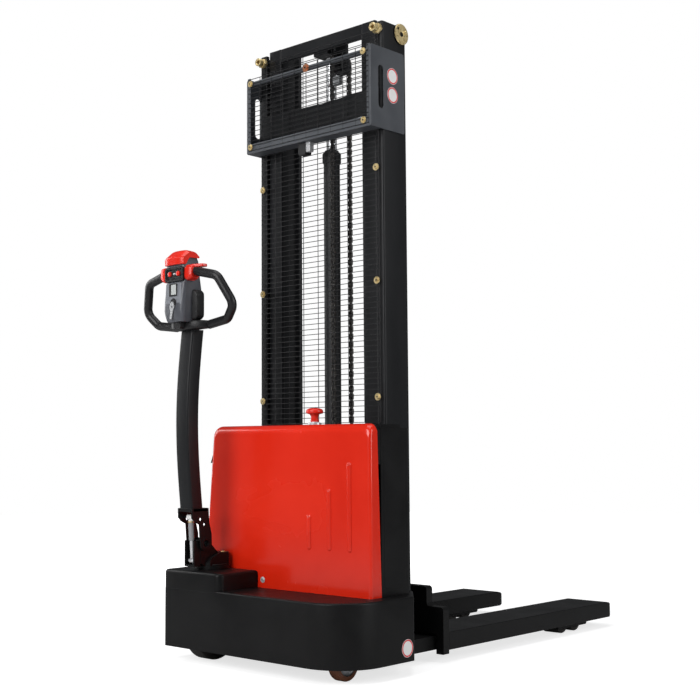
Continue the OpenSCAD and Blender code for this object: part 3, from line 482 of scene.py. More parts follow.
def makeStudio():
    world = bpy.data.worlds.new("studioAir")
    bpy.context.scene.world = world
    world.use_nodes = True
    tree = world.node_tree
    room = tree.nodes["Background"]
    room.inputs["Color"].default_value = (0.95, 0.97, 1.0, 1)
    room.inputs["Strength"].default_value = 0.11
    seen = tree.nodes.new("ShaderNodeBackground")
    seen.inputs["Color"].default_value = (1, 1, 1, 1)
    seen.inputs["Strength"].default_value = 1.0
    rays = tree.nodes.new("ShaderNodeLightPath")
    mixer = tree.nodes.new("ShaderNodeMixShader")
    tree.links.new(rays.outputs["Is Camera Ray"], mixer.inputs[0])
    tree.links.new(room.outputs[0], mixer.inputs[1])
    tree.links.new(seen.outputs[0], mixer.inputs[2])
    tree.links.new(mixer.outputs[0], tree.nodes["World Output"].inputs["Surface"])
    addSoftbox("keyBox", (0.2, -4.6, 2.6), (0, 0, 0.9), 2.6, 2.6, 150)
    addSoftbox("sideBox", (4.4, 0.6, 2.2), (0.2, 0, 0.9), 1.6, 3.2, 90)
    addSoftbox("leftBox", (-3.8, -1.6, 2.0), (0, 0, 1.0), 1.2, 3.0, 60)
    addSoftbox("topBox", (0.3, -0.4, 4.4), (0, 0, 0.6), 3.0, 3.0, 70)
    bm = bmesh.new()
    addPrism(bm, arcPoints(0, 0, 9000, 0, 360 - 3.75, 95), "z", -6, 0)
    floorMesh = meshFrom(bm, "studioFloor", toRow)
    floor = linkObject("studioFloor", floorMesh)
    floorFinish = makeFinish("studioFloor", (0.6, 0.6, 0.6), (0.58, 0.58, 0.585), 0.7, bump=0.02,
                             specular=0.1)
    shader = floorFinish.node_tree.nodes["Principled BSDF"]
    # the floor glows for the eye only, more strongly far away, so it stays white without lighting the machine
    surface = floorFinish.node_tree
    spread = addNode(surface, "ShaderNodeVectorMath", {"operation": "LENGTH"},
                     Vector=surface.nodes["Texture Coordinate"].outputs["Object"])
    level = addNode(surface, "ShaderNodeMapRange", Value=spread.outputs["Value"])
    for key, value in (("From Min", 1.3), ("From Max", 3.0), ("To Min", 0.72), ("To Max", 1.5)):
        level.inputs[key].default_value = value
    glow = addNode(surface, "ShaderNodeMath", {"operation": "MULTIPLY"})
    seenBy = surface.nodes.new("ShaderNodeLightPath")
    surface.links.new(seenBy.outputs["Is Camera Ray"], glow.inputs[0])
    surface.links.new(level.outputs["Result"], glow.inputs[1])
    shader.inputs["Emission Color"].default_value = (1, 1, 1, 1)
    surface.links.new(glow.outputs[0], shader.inputs["Emission Strength"])
    floorMesh.materials.append(floorFinish)
    bpy.context.scene.view_settings.view_transform = "Standard"


placeCamera(camera)
makeStudio()
print("camera and lights ready")

# ---- chassis

chassis = {"halfWidth": 400.3, "back": -333.6, "sideFront": -16, "noseX": 306, "noseY": 100, "mastCut": 290,
           "bottom": 45, "deck": 238, "cornerRight": 190, "cornerLeft": 12, "edge": 7, "wall": 5}


def softShell(outline, bottom, top, edge, steps=5):
    # walls with a rounded upper edge and a closed top, open below
    bm = bmesh.new()
    loops = [[(x, y, bottom) for x, y in outline]]
    for k in range(steps + 1):
        a = math.pi / 2 * k / steps
        ring = insetOutline(outline, edge * (1 - math.cos(a)))
        loops.append([(x, y, top - edge * (1 - math.sin(a))) for x, y in ring])
    addLoft(bm, loops, capped=False)
    bm.verts.ensure_lookup_table()
    bm.faces.new(bm.verts[-len(outline):])
    return bm


def buildChassis(c):
    plan = [(-c["halfWidth"], c["back"]), (c["halfWidth"], c["back"]), (c["halfWidth"], c["sideFront"]),
            (c["noseX"], c["noseY"]), (c["mastCut"], c["noseY"]), (c["mastCut"], -1), (-c["mastCut"], -1),
            (-c["mastCut"], c["noseY"]), (-c["noseX"], c["noseY"]), (-c["halfWidth"], c["sideFront"])]
    radii = [c["cornerLeft"], c["cornerRight"], 14, 12, 0, 0, 0, 0, 12, 14]
    outline = roundedOutline(plan, radii, 14)
    bm = softShell(outline, c["bottom"], c["deck"], c["edge"])
    notches = bmesh.new()
    for side in (-1, 1):
        ends = sorted((side * 202.5, side * 300.5))
        addBlock(notches, (ends[0], -80, 40), (ends[1], 122, 82))
    finishPiece("chassisSkirt", bm, blackPaint, "chassis", ("base_frame",),
                thickness=c["wall"], cut=notches)
    inner = bmesh.new()
    addBlock(inner, (-396, -70, 82), (396, -62, 233))          # beam behind the mast
    addBlock(inner, (244, -240, 150), (344, -140, 233))        # caster mount
    addLathe(inner, [(52, 142), (52, 150)], (294, -190, 0), (0, 0, 1))
    addLathe(inner, [(22, 128), (22, 142)], (294, -190, 0), (0, 0, 1))
    finishPiece("chassisBeam", inner, blackPaint, "chassis", bevel=1)


driveBlock = {"left": -400, "back": -333.3, "right": -132, "front": -161, "low": 224, "top": 294,
              "edge": 11}


def buildDriveBlock(d):
    outline = roundedOutline([(d["left"], d["back"]), (d["right"], d["back"]), (d["right"], d["front"]),
                              (d["left"], d["front"])], [12, 24, 0, 3], 8)
    shell = softShell(outline, d["low"], d["top"], d["edge"])
    finishPiece("driveBlock", shell, blackPaint, "chassis", ("drive_block",))


buildChassis(chassis)
buildDriveBlock(driveBlock)
cadPiece("straddle_legs", "straddleLegs", blackPaint, "chassis", 1.6)
print("chassis built")

# ---- hood

hood = {"halfWidth": 352, "back": -161, "front": -110, "bottom": 238, "top": 765, "flare": 42, "edge": 30,
        "sideEdge": 11, "corner": 24, "wall": 3, "ribX": (98, 184, 268), "ribTop": (483, 565, 647),
        "ribLow": 372, "ribWidth": 18, "ribDepth": 4.2}


def hoodOutline(h, top, inset=0.0):
    # rear view from the lower left corner round to the lower right one
    half = h["halfWidth"] - inset
    corners = [(-half - h["flare"], h["bottom"]), (half, h["bottom"]), (half, top - inset),
               (-half, top - inset)]
    return roundedOutline(corners, [0, 0, h["corner"], h["corner"]], 10)


def buildHood(h):
    bm = bmesh.new()
    loops = []
    steps = 18
    for k in range(steps + 1):
        turn = math.pi / 2 * k / steps
        depth = h["edge"] * (1 - math.cos(turn))
        top = h["top"] - h["edge"] + h["edge"] * math.sin(turn)
        inset = 0.0
        if depth < h["sideEdge"]:
            rest = h["sideEdge"] - depth
            inset = h["sideEdge"] - math.sqrt(h["sideEdge"] ** 2 - rest ** 2)
        loops.append([(x - math.copysign(inset, x), h["back"] + depth, z)
                      for x, z in hoodOutline(h, top)])
    # the seam with the black panels runs back along the top
    last = []
    for x, z in hoodOutline(h, h["top"]):
        lift = min(max((z - 700) / 58, 0), 1)
        last.append((x, h["front"] - 19 * lift * lift * (3 - 2 * lift), z))
    loops.append(last)
    addLoft(bm, loops, capped=False)
    bm.verts.ensure_lookup_table()
    count = len(last)
    bm.faces.new(bm.verts[:count])
    bottomEdges = [f for f in bm.faces if all(v.co.z < h["bottom"] + 0.01 for v in f.verts)]
    bmesh.ops.delete(bm, geom=bottomEdges, context="FACES")
    finishPiece("redHood", bm, redPaint, "chassis", ("rear_hood",), thickness=h["wall"],
                smoothAngle=50)


def newRibTree():
    tree, start, end, sockets = newTree("hoodRibs", (("Width", "Float", 0.018), ("Depth", "Float", 0.006),
                                                     ("Finish", "Material", None)))
    run = addNode(tree, "GeometryNodeInputNamedAttribute", {"data_type": "FLOAT"}, Name="run")
    body = addNode(tree, "GeometryNodeMeshCylinder", {"fill_type": "NONE"}, Vertices=28, Radius=0.5,
                   Depth=1.0)
    lifted = addNode(tree, "GeometryNodeTransform", Geometry=body.outputs["Mesh"], Translation=(0, 0, 0.5))
    cap = addNode(tree, "GeometryNodeMeshUVSphere", Segments=28, Rings=16, Radius=0.5)
    across = addNode(tree, "ShaderNodeCombineXYZ", X=start.outputs["Width"], Y=start.outputs["Depth"],
                     Z=run.outputs["Attribute"])
    ends = addNode(tree, "ShaderNodeCombineXYZ", X=start.outputs["Width"], Y=start.outputs["Depth"],
                   Z=start.outputs["Width"])
    bodies = addNode(tree, "GeometryNodeInstanceOnPoints", Points=start.outputs["Geometry"],
                     Instance=lifted.outputs["Geometry"], Scale=across.outputs[0])
    lower = addNode(tree, "GeometryNodeInstanceOnPoints", Points=start.outputs["Geometry"],
                    Instance=cap.outputs["Mesh"], Scale=ends.outputs[0])
    rise = addNode(tree, "ShaderNodeCombineXYZ", Z=run.outputs["Attribute"])
    raised = addNode(tree, "GeometryNodeSetPosition", Geometry=start.outputs["Geometry"],
                     Offset=rise.outputs[0])
    upper = addNode(tree, "GeometryNodeInstanceOnPoints", Points=raised.outputs["Geometry"],
                    Instance=cap.outputs["Mesh"], Scale=ends.outputs[0])
    joined = tree.nodes.new("GeometryNodeJoinGeometry")
    for part in (bodies, lower, upper):
        tree.links.new(part.outputs["Instances"], joined.inputs[0])
    real = addNode(tree, "GeometryNodeRealizeInstances", Geometry=joined.outputs[0])
    closed = addNode(tree, "GeometryNodeMergeByDistance", Geometry=real.outputs[0], Distance=0.00001)
    painted = addNode(tree, "GeometryNodeSetMaterial", Geometry=closed.outputs[0],
                      Material=start.outputs["Finish"])
    tree.links.new(painted.outputs[0], end.inputs[0])
    return tree, sockets


def buildRibs(h):
    tree, sockets = newRibTree()
    radius = h["ribWidth"] / 2
    points = [(x, h["back"] + 0.2, h["ribLow"] + radius) for x in h["ribX"]]
    lengths = [top - h["ribLow"] - 2 * radius for top in h["ribTop"]]
    ribs = runTree("hoodRibs", pointMesh("hoodRibs", points, lengths=lengths), tree, sockets,
                   {"Width": h["ribWidth"] * millimetre, "Depth": h["ribDepth"] * 0.002,
                    "Finish": redPaint})
    handOver(ribs, "chassis")


def buildHoodPanels(h):
    cadPiece("hood_panels", "hoodPanels", blackPaint, "chassis", 0.9)
    bm = bmesh.new()
    addLoft(bm, [[(x, y, max(z, 640)) for x, z in hoodOutline(h, h["top"] - 1.2, 1.2)]
                 for y in (-134, h["front"] + 1.5)])
    bmesh.ops.dissolve_degenerate(bm, edges=bm.edges, dist=0.01)
    finishPiece("hoodTopSeam", bm, blackPaint, "chassis")
    frameLine = bmesh.new()
    outer = roundedOutline([(-96, 262), (6, 262), (6, 706), (-96, 706)], 14, 6)
    addPrism(frameLine, outer, "x", 351.6, 352.7)
    finishPiece("sidePanelField", frameLine, blackPaint, "chassis", bevel=0.9)


buildHood(hood)
buildRibs(hood)
buildHoodPanels(hood)
print("hood built")

stop = {"place": (64, -96, 765), "head": [(14, 30), (16, 34), (26, 36.5), (28, 40), (28, 45), (24.5, 50),
                                          (17, 53), (8, 54.6), (0, 55)],
        "neck": [(13.5, 9), (13.5, 16), (12, 18), (12, 26), (14, 30.5)],
        "collar": [(22, 0), (22, 5.5), (20.5, 7), (16, 7), (15, 9.5), (13, 9.5)]}


def buildStop(s):
    for name, finish, slot, replaced in (("head", redPlastic, "red_plastic", ("stop_button",)),
                                         ("neck", redPlastic, "red_plastic", ()),
                                         ("collar", brightSteel, "bright_steel", ())):
        bm = bmesh.new()
        addLathe(bm, s[name], s["place"], (0, 0, 1), 56)
        finishPiece("stopButton" + name.capitalize(), bm, finish, "chassis", replaced)


buildStop(stop)

# ---- fixed mast

mast = {"halfWidth": 282, "flange": 32, "web": 10, "flangeThick": 14, "bottom": 82, "top": 2080,
        "corner": 7, "fillet": 6}


def channelOutline(m, side):
    outer, inner = m["halfWidth"], m["halfWidth"] - m["flange"]
    web = outer - m["web"]
    t, d = m["flangeThick"], channelDepth
    points = [(inner, 0), (outer, 0), (outer, d), (inner, d), (inner, d - t), (web, d - t), (web, t),
              (inner, t)]
    radii = [3, m["corner"], m["corner"], 3, 3, m["fillet"], m["fillet"], 3]
    return [(x * side, y) for x, y in roundedOutline(points, radii, 5)]


def buildFixedMast(m):
    for side, name in ((-1, "Left"), (1, "Right")):
        bm = bmesh.new()
        addPrism(bm, channelOutline(m, side), "z", m["bottom"], m["top"])
        finishPiece("mastChannel" + name, bm, mastPaintBlueLightTint, "chassis",
                    ("fixed_mast",) if side < 0 else ())
    bars = bmesh.new()
    addBlock(bars, (-270, -8, 258), (270, 0, 328))
    finishPiece("mastCrossBars", bars, mastPaintBlueLightTint, "chassis", bevel=1.5)
    cranked = bmesh.new()
    crank, bend = 21, 187
    rear = [(-270, -8), (-bend, -8), (0, crank - 8), (bend, -8), (270, -8)]
    front = [(270, 0), (bend, 0), (0, crank), (-bend, 0), (-270, 0)]
    addPrism(cranked, rear + front, "z", 1775, 1859)
    finishPiece("mastTopBar", cranked, mastPaintBlueLightTint, "chassis", bevel=1.2)


buildFixedMast(mast)

cylinder = {"x": -6, "y": 71, "foot": 102, "top": 1707, "radius": 28, "collar": 32}


def buildCylinder(c):
    centre = (c["x"], c["y"], 0)
    r, top = c["radius"], c["top"]
    bm = bmesh.new()
    addLathe(bm, [(r + 2, c["foot"]), (r + 2, c["foot"] + 34), (r, c["foot"] + 40), (r, top - 46),
                  (r + 1.5, top - 44), (c["collar"], top - 42), (c["collar"], top - 12),
                  (c["collar"] - 3, top - 8), (24, top - 6), (24, top - 1), (20, top)], centre, (0, 0, 1),
             56)
    addBlock(bm, (c["x"], 23, 132), (48, 57, 162))
    finishPiece("liftCylinder", bm, mastPaintBlueLightTint, "chassis", ("lift_cylinder",))
    rod = bmesh.new()
    addLathe(rod, [(16.5, 142), (18, 144), (18, 2030), (16.5, 2032)], centre, (0, 0, 1), 48)
    finishPiece("liftRod", rod, brightSteel, "inner_mast", ("cylinder_rod",))


buildCylinder(cylinder)

sliding = {"inner": 187, "outer": 245, "back": 8, "front": 114, "web": 10, "flange": 14, "bottom": 90,
           "top": 2092}


def buildSlidingMast(s):
    middle = (s["inner"] + s["outer"]) / 2
    w0, w1 = middle - s["web"] / 2, middle + s["web"] / 2
    y0, y1, t = s["back"], s["front"], s["flange"]
    points = [(s["inner"], y0), (s["outer"], y0), (s["outer"], y0 + t), (w1, y0 + t), (w1, y1 - t),
              (s["outer"], y1 - t), (s["outer"], y1), (s["inner"], y1), (s["inner"], y1 - t), (w0, y1 - t),
              (w0, y0 + t), (s["inner"], y0 + t)]
    radii = [3, 3, 3, 5, 5, 3, 3, 3, 3, 5, 5, 3]
    for side, name in ((-1, "Left"), (1, "Right")):
        bm = bmesh.new()
        addPrism(bm, [(x * side, y) for x, y in roundedOutline(points, radii, 4)], "z", s["bottom"],
                 s["top"])
        finishPiece("slidingSection" + name, bm, mastPaintBlueLightTint, "inner_mast",
                    ("sliding_mast",) if side < 0 else ())
    bars = bmesh.new()
    addBlock(bars, (-187, 8, 2044), (187, 18, 2092))
    addBlock(bars, (-187, 18, 2082), (187, 86, 2092))
    addBlock(bars, (-187, 8, 100), (187, 18, 200))
    addBlock(bars, (-40, 18, 2032), (25, 86, 2082))
    addBlock(bars, (51, 18, 2032), (61, 86, 2082))
    for x in (17, 51):
        addPrism(bars, roundedOutline([(56, 1980), (86, 1980), (86, 2083), (56, 2083)], [8, 8, 0, 0]), "x",
                 x, x + 8)
    addLathe(bars, [(9.9, 15), (9.9, 61)], (0, 71, 2002), (1, 0, 0), 32)
    finishPiece("slidingMastBars", bars, mastPaintBlueLightTint, "inner_mast", bevel=1.4)
    wheel = bmesh.new()
    addRing(wheel, [(10, -11), (30, -11), (39, -10), (39, -8.5), (35, -7), (35, 7), (39, 8.5), (39, 10),
                    (30, 11), (10, 11)], (38, 71, 2002), (1, 0, 0), 56)
    finishPiece("chainSheave", wheel, darkSteel, "sheave", ("chain_sheave",))


buildSlidingMast(sliding)
cadPiece("mast_rollers", "mastRollers", plainSteel, "inner_mast", 1.2)
cadPiece("top_rollers", "topRollers", plainSteel, "chassis", 1.2)
print("mast built")

# ---- lift chain

chain = {"x": 38, "width": 16, "pitch": 12.7, "plateHeight": 7.6, "plateThick": 1.7, "pin": 2.2,
         "rearY": 27, "frontY": 115, "sheaveZ": 2002, "rearLow": 163, "frontLow": 500, "radius": 44}


def newChainTree():
    tree, start, end, sockets = newTree("leafChain", (
        ("Pitch", "Float", 0.0127), ("Width", "Float", 0.016), ("Plate Height", "Float", 0.0076),
        ("Plate Thickness", "Float", 0.0017), ("Pin Radius", "Float", 0.0022),
        ("Finish", "Material", None)))
    curve = addNode(tree, "GeometryNodeMeshToCurve", Mesh=start.outputs["Geometry"])
    spaced = addNode(tree, "GeometryNodeCurveToPoints", {"mode": "LENGTH"}, Curve=curve.outputs["Curve"],
                     Length=start.outputs["Pitch"])
    aimed = addNode(tree, "FunctionNodeAlignEulerToVector", {"axis": "Z"}, Vector=spaced.outputs["Tangent"])
    half = addNode(tree, "ShaderNodeMath", {"operation": "MULTIPLY"})
    tree.links.new(start.outputs["Plate Height"], half.inputs[0])
    half.inputs[1].default_value = 0.5
    disc = addNode(tree, "GeometryNodeMeshCylinder", Vertices=10, Radius=half.outputs[0],
                   Depth=start.outputs["Plate Thickness"])
    lying = addNode(tree, "GeometryNodeTransform", Geometry=disc.outputs["Mesh"],
                    Rotation=(0, math.pi / 2, 0))
    reach = addNode(tree, "ShaderNodeCombineXYZ", Z=start.outputs["Pitch"])
    shifted = addNode(tree, "GeometryNodeTransform", Geometry=lying.outputs["Geometry"],
                      Translation=reach.outputs[0])
    pair = tree.nodes.new("GeometryNodeJoinGeometry")
    tree.links.new(lying.outputs["Geometry"], pair.inputs[0])
    tree.links.new(shifted.outputs["Geometry"], pair.inputs[0])
    plate = addNode(tree, "GeometryNodeConvexHull", Geometry=pair.outputs[0])
    index = tree.nodes.new("GeometryNodeInputIndex")
    odd = addNode(tree, "ShaderNodeMath", {"operation": "MODULO"})
    tree.links.new(index.outputs[0], odd.inputs[0])
    odd.inputs[1].default_value = 2.0
    even = addNode(tree, "ShaderNodeMath", {"operation": "SUBTRACT"})
    even.inputs[0].default_value = 1.0
    tree.links.new(odd.outputs[0], even.inputs[1])
    joined = tree.nodes.new("GeometryNodeJoinGeometry")
    for share, chosen in ((-0.44, even), (0.0, even), (0.44, even), (-0.24, odd), (0.24, odd)):
        slide = addNode(tree, "ShaderNodeMath", {"operation": "MULTIPLY"})
        tree.links.new(start.outputs["Width"], slide.inputs[0])
        slide.inputs[1].default_value = share
        offset = addNode(tree, "ShaderNodeCombineXYZ", X=slide.outputs[0])
        placed = addNode(tree, "GeometryNodeTransform", Geometry=plate.outputs[0],
                         Translation=offset.outputs[0])
        row = addNode(tree, "GeometryNodeInstanceOnPoints", Points=spaced.outputs["Points"],
                      Selection=chosen.outputs[0], Instance=placed.outputs["Geometry"],
                      Rotation=aimed.outputs[0])
        tree.links.new(row.outputs["Instances"], joined.inputs[0])
    pin = addNode(tree, "GeometryNodeMeshCylinder", Vertices=8, Radius=start.outputs["Pin Radius"],
                  Depth=start.outputs["Width"])
    crossPin = addNode(tree, "GeometryNodeTransform", Geometry=pin.outputs["Mesh"],
                       Rotation=(0, math.pi / 2, 0))
    pins = addNode(tree, "GeometryNodeInstanceOnPoints", Points=spaced.outputs["Points"],
                   Instance=crossPin.outputs["Geometry"], Rotation=aimed.outputs[0])
    tree.links.new(pins.outputs["Instances"], joined.inputs[0])
    real = addNode(tree, "GeometryNodeRealizeInstances", Geometry=joined.outputs[0])
    painted = addNode(tree, "GeometryNodeSetMaterial", Geometry=real.outputs[0],
                      Material=start.outputs["Finish"])
    tree.links.new(painted.outputs[0], end.inputs[0])
    return tree, sockets


def pathMesh(name, points):
    mesh = bpy.data.meshes.new(name)
    mesh.from_pydata([tuple(rowPoint(*p)) for p in points], [(i, i + 1) for i in range(len(points) - 1)],
                     [])
    return mesh


def buildChain(c):
    tree, sockets = newChainTree()
    values = {"Pitch": c["pitch"] * millimetre, "Width": c["width"] * millimetre,
              "Plate Height": c["plateHeight"] * millimetre,
              "Plate Thickness": c["plateThick"] * millimetre, "Pin Radius": c["pin"] * millimetre,
              "Finish": chainSteel}
    x, top = c["x"], c["sheaveZ"]
    wrap = [(x, 71 - c["radius"] * math.cos(a), top + c["radius"] * math.sin(a))
            for a in (math.pi * k / 20 for k in range(21))]
    runs = (("chainRearRun", [(x, c["rearY"], c["rearLow"]), (x, c["rearY"], top)], "chain_rear_run"),
            ("chainFrontRun", [(x, c["frontY"], c["frontLow"]), (x, c["frontY"], top)], "chain_front_run"),
            ("chainWrap", wrap, None))
    for name, path, node in runs:
        obj = runTree(name, pathMesh(name, path), tree, sockets, values)
        if node:
            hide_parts(node)
    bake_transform(bpy.data.objects["chainRearRun"])
    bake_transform(bpy.data.objects["chainFrontRun"])
    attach(bpy.data.objects["chainWrap"], "inner_mast")


buildChain(chain)
print("chain built")

# ---- guards

guard = {"plateIn": 282, "plateOut": 286, "back": -64, "front": 108, "low": 1718, "high": 1988,
         "slotY": -12, "slotLow": 1798, "slotHigh": 1913, "slotRadius": 14, "lip": 1752, "stile": 14,
         "railRadius": 8, "railZ": 1968, "sheet": 4}
wires = {"radius": 1.25, "stepAcross": 64, "stepUp": 17.5, "rearY": -9.4, "rearHalf": 268, "rearLow": 772,
         "rearHigh": 2049, "frameY": -65.4, "frameHalf": 276, "frameLow": 1728, "frameHigh": 1983,
         "frameStepAcross": 58}


def buildGuardFrame(g):
    for side, name in ((-1, "Left"), (1, "Right")):
        bm = bmesh.new()
        outline = roundedOutline([(g["back"], g["low"]), (g["front"], g["low"]), (g["front"], g["high"]),
                                  (g["back"], g["high"])], [5, 8, 12, 12], 6)
        ends = sorted((side * g["plateIn"], side * g["plateOut"]))
        addPrism(bm, outline, "x", *ends)
        slot = bmesh.new()
        r = g["slotRadius"]
        upper = arcPoints(g["slotY"], g["slotHigh"], r, 0, 180, 12)
        lower = arcPoints(g["slotY"], g["slotLow"], r, 180, 360, 12)
        addPrism(slot, upper + lower, "x", ends[0] - 5, ends[1] + 5)
        finishPiece("guardPlate" + name, bm, frameBlackPaintedSheen, "chassis",
                    ("guard_frame",) if side < 0 else (), bevel=0.9, cut=slot)
    t = g["sheet"]
    half = g["plateIn"]
    bm = bmesh.new()
    addPrism(bm, [(g["back"], g["low"]), (-11, g["low"]), (-11, g["low"] + t),
                  (g["back"] + t, g["low"] + t), (g["back"] + t, g["lip"]), (g["back"], g["lip"])], "x",
             -half, half)
    for side in (-1, 1):
        ends = sorted((side * (half - g["stile"]), side * half))
        addBlock(bm, (ends[0], g["back"], g["lip"]), (ends[1], g["back"] + t, g["high"]))
    finishPiece("guardTray", bm, frameBlackPaintedSheen, "chassis", bevel=1.1)
    rail = bmesh.new()
    addLathe(rail, [(g["railRadius"], -half), (g["railRadius"], half)],
             (0, g["back"] + g["railRadius"], g["railZ"]), (1, 0, 0), 24)
    finishPiece("guardRail", rail, frameBlackPaintedSheen, "chassis")


def newWireTree():
    tree, start, end, sockets = newTree("wirePanel", (
        ("Half Width", "Float", 0.26), ("Low", "Float", 0.8), ("High", "Float", 2.0),
        ("Across Step", "Float", 0.064), ("Up Step", "Float", 0.0175), ("Wire Radius", "Float", 0.00125),
        ("Finish", "Material", None)))

    def sum2(kind, a, b):
        node = tree.nodes.new("ShaderNodeMath")
        node.operation = kind
        for socket, value in zip(node.inputs, (a, b)):
            if isinstance(value, bpy.types.NodeSocket):
                tree.links.new(value, socket)
            else:
                socket.default_value = value
        return node.outputs[0]

    inputs = start.outputs
    rise = sum2("SUBTRACT", inputs["High"], inputs["Low"])
    width = sum2("MULTIPLY", inputs["Half Width"], 2.0)
    left = sum2("MULTIPLY", inputs["Half Width"], -1.0)
    joined = tree.nodes.new("GeometryNodeJoinGeometry")
    profile = addNode(tree, "GeometryNodeCurvePrimitiveCircle", Resolution=6, Radius=inputs["Wire Radius"])
    for upright in (False, True):
        length, span, step = ((rise, width, inputs["Across Step"]) if upright else
                              (width, rise, inputs["Up Step"]))
        gaps = sum2("ROUND", sum2("DIVIDE", span, step), 0.0)
        count = sum2("ADD", gaps, 1.0)
        apart = sum2("DIVIDE", span, gaps)
        finish = tree.nodes.new("ShaderNodeCombineXYZ")
        tree.links.new(length, finish.inputs["Z" if upright else "X"])
        line = addNode(tree, "GeometryNodeCurvePrimitiveLine", End=finish.outputs[0])
        wire = addNode(tree, "GeometryNodeCurveToMesh", Curve=line.outputs[0],
                       Profile_Curve=profile.outputs[0], Fill_Caps=True)
        offset = tree.nodes.new("ShaderNodeCombineXYZ")
        tree.links.new(apart, offset.inputs["X" if upright else "Z"])
        # the uprights lie in front of the level wires
        depth = sum2("MULTIPLY", inputs["Wire Radius"], 1.9 if upright else 0.0)
        first = addNode(tree, "ShaderNodeCombineXYZ", X=left, Y=depth, Z=inputs["Low"])
        spots = addNode(tree, "GeometryNodeMeshLine", Count=count, Start_Location=first.outputs[0],
                        Offset=offset.outputs[0])
        placed = addNode(tree, "GeometryNodeInstanceOnPoints", Points=spots.outputs[0],
                         Instance=wire.outputs[0])
        tree.links.new(placed.outputs["Instances"], joined.inputs[0])
    real = addNode(tree, "GeometryNodeRealizeInstances", Geometry=joined.outputs[0])
    painted = addNode(tree, "GeometryNodeSetMaterial", Geometry=real.outputs[0], Material=inputs["Finish"])
    tree.links.new(painted.outputs[0], end.inputs[0])
    return tree, sockets


def buildWires(w):
    tree, sockets = newWireTree()
    for name, y, half, low, high, across, node in (
            ("rearGuardWires", w["rearY"], w["rearHalf"], w["rearLow"], w["rearHigh"], w["stepAcross"],
             "guard_mesh"),
            ("frameGuardWires", w["frameY"], w["frameHalf"], w["frameLow"], w["frameHigh"],
             w["frameStepAcross"], None)):
        obj = runTree(name, bpy.data.meshes.new(name), tree, sockets, {
            "Half Width": half * millimetre, "Low": low * millimetre, "High": high * millimetre,
            "Across Step": across * millimetre, "Up Step": w["stepUp"] * millimetre, "Wire Radius": w["radius"] * millimetre,
            "Finish": wirePaint}, 60)
        obj.data.transform(Matrix.Translation(rowPoint(0, y, 0)))
        handOver(obj, "chassis", (node,) if node else ())


buildGuardFrame(guard)
buildWires(wires)
print("guards built")

# ---- screws

screws = {"headRadius": 7.6, "headHeight": 4.2, "washerRadius": 11.6, "washerHeight": 1.4,
          "socketRadius": 3.0}


def newScrewTree():
    tree, start, end, sockets = newTree("screwSet", (
        ("Head Radius", "Float", 0.006), ("Head Height", "Float", 0.003), ("Washer Radius", "Float", 0.009),
        ("Washer Height", "Float", 0.0014), ("Socket Radius", "Float", 0.003), ("Finish", "Material", None),
        ("Socket Finish", "Material", None)))
    inputs = start.outputs
    aim = addNode(tree, "GeometryNodeInputNamedAttribute", {"data_type": "FLOAT_VECTOR"}, Name="aim")
    turned = addNode(tree, "FunctionNodeAlignEulerToVector", {"axis": "Z"}, Vector=aim.outputs["Attribute"])
    joined = tree.nodes.new("GeometryNodeJoinGeometry")
    for radius, height, sides, finish in (("Washer Radius", "Washer Height", 24, "Finish"),
                                          ("Head Radius", "Head Height", 20, "Finish"),
                                          ("Socket Radius", None, 6, "Socket Finish")):
        if height:
            tall = inputs[height]
        else:
            longer = addNode(tree, "ShaderNodeMath", {"operation": "MULTIPLY"})
            tree.links.new(inputs["Head Height"], longer.inputs[0])
            longer.inputs[1].default_value = 1.06
            tall = longer.outputs[0]
        doubled = addNode(tree, "ShaderNodeMath", {"operation": "MULTIPLY"})
        tree.links.new(tall, doubled.inputs[0])
        doubled.inputs[1].default_value = 2.0
        drum = addNode(tree, "GeometryNodeMeshCylinder", Vertices=sides, Radius=inputs[radius],
                       Depth=doubled.outputs[0])
        coated = addNode(tree, "GeometryNodeSetMaterial", Geometry=drum.outputs["Mesh"],
                         Material=inputs[finish])
        tree.links.new(coated.outputs[0], joined.inputs[0])
    placed = addNode(tree, "GeometryNodeInstanceOnPoints", Points=inputs["Geometry"],
                     Instance=joined.outputs[0], Rotation=turned.outputs[0])
    real = addNode(tree, "GeometryNodeRealizeInstances", Geometry=placed.outputs["Instances"])
    tree.links.new(real.outputs[0], end.inputs[0])
    return tree, sockets


screwTree, screwSockets = newScrewTree()


def addScrews(name, points, aim, finish, body="chassis", scale=1.0, socket=darkSteel):
    s = screws
    values = {"Head Radius": s["headRadius"], "Head Height": s["headHeight"],
              "Washer Radius": s["washerRadius"], "Washer Height": s["washerHeight"],
              "Socket Radius": s["socketRadius"]}
    values = {key: value * millimetre * scale for key, value in values.items()}
    values.update({"Finish": finish, "Socket Finish": socket})
    obj = runTree(name, pointMesh(name, points, aims=[aim] * len(points)), screwTree, screwSockets, values)
    return handOver(obj, body)


def buildScrews():
    back = (0, -1, 0)
    addScrews("meshScrews", [(s * 260, -11, z) for s in (-1, 1) for z in (852, 1226, 1595)], back,
              yellowZinc)
    addScrews("frameScrews", [(x, -66.5, z) for x in (-266, 256) for z in (1740, 1967)], back, yellowZinc,
              scale=0.95)
    addScrews("railScrew", [(0, -63.5, 1968)], back, copperScrew, scale=1.2)
    addScrews("hoodScrew", [(-109, -161, 264)], back, brightSteel, scale=0.85)
    # small red dots on the rib tops whose bright steel centres are a painted highlight for the glint on each
    # rib's rounded top
    addScrews("ribTopHighlightDots", [(x, -163.4, top - 9) for x, top in zip(hood["ribX"], hood["ribTop"])], back,
              redPaint, scale=0.42, socket=brightSteel)
    addScrews("topScrews", [(x, -92, 763) for x in (-290, 220, 290)], (0, 0, 1), brightSteel,
              scale=0.6)


buildScrews()

# ---- fittings at the mast head

caps = {"x": 282, "y": 94, "z": 2054, "radius": 35.6}


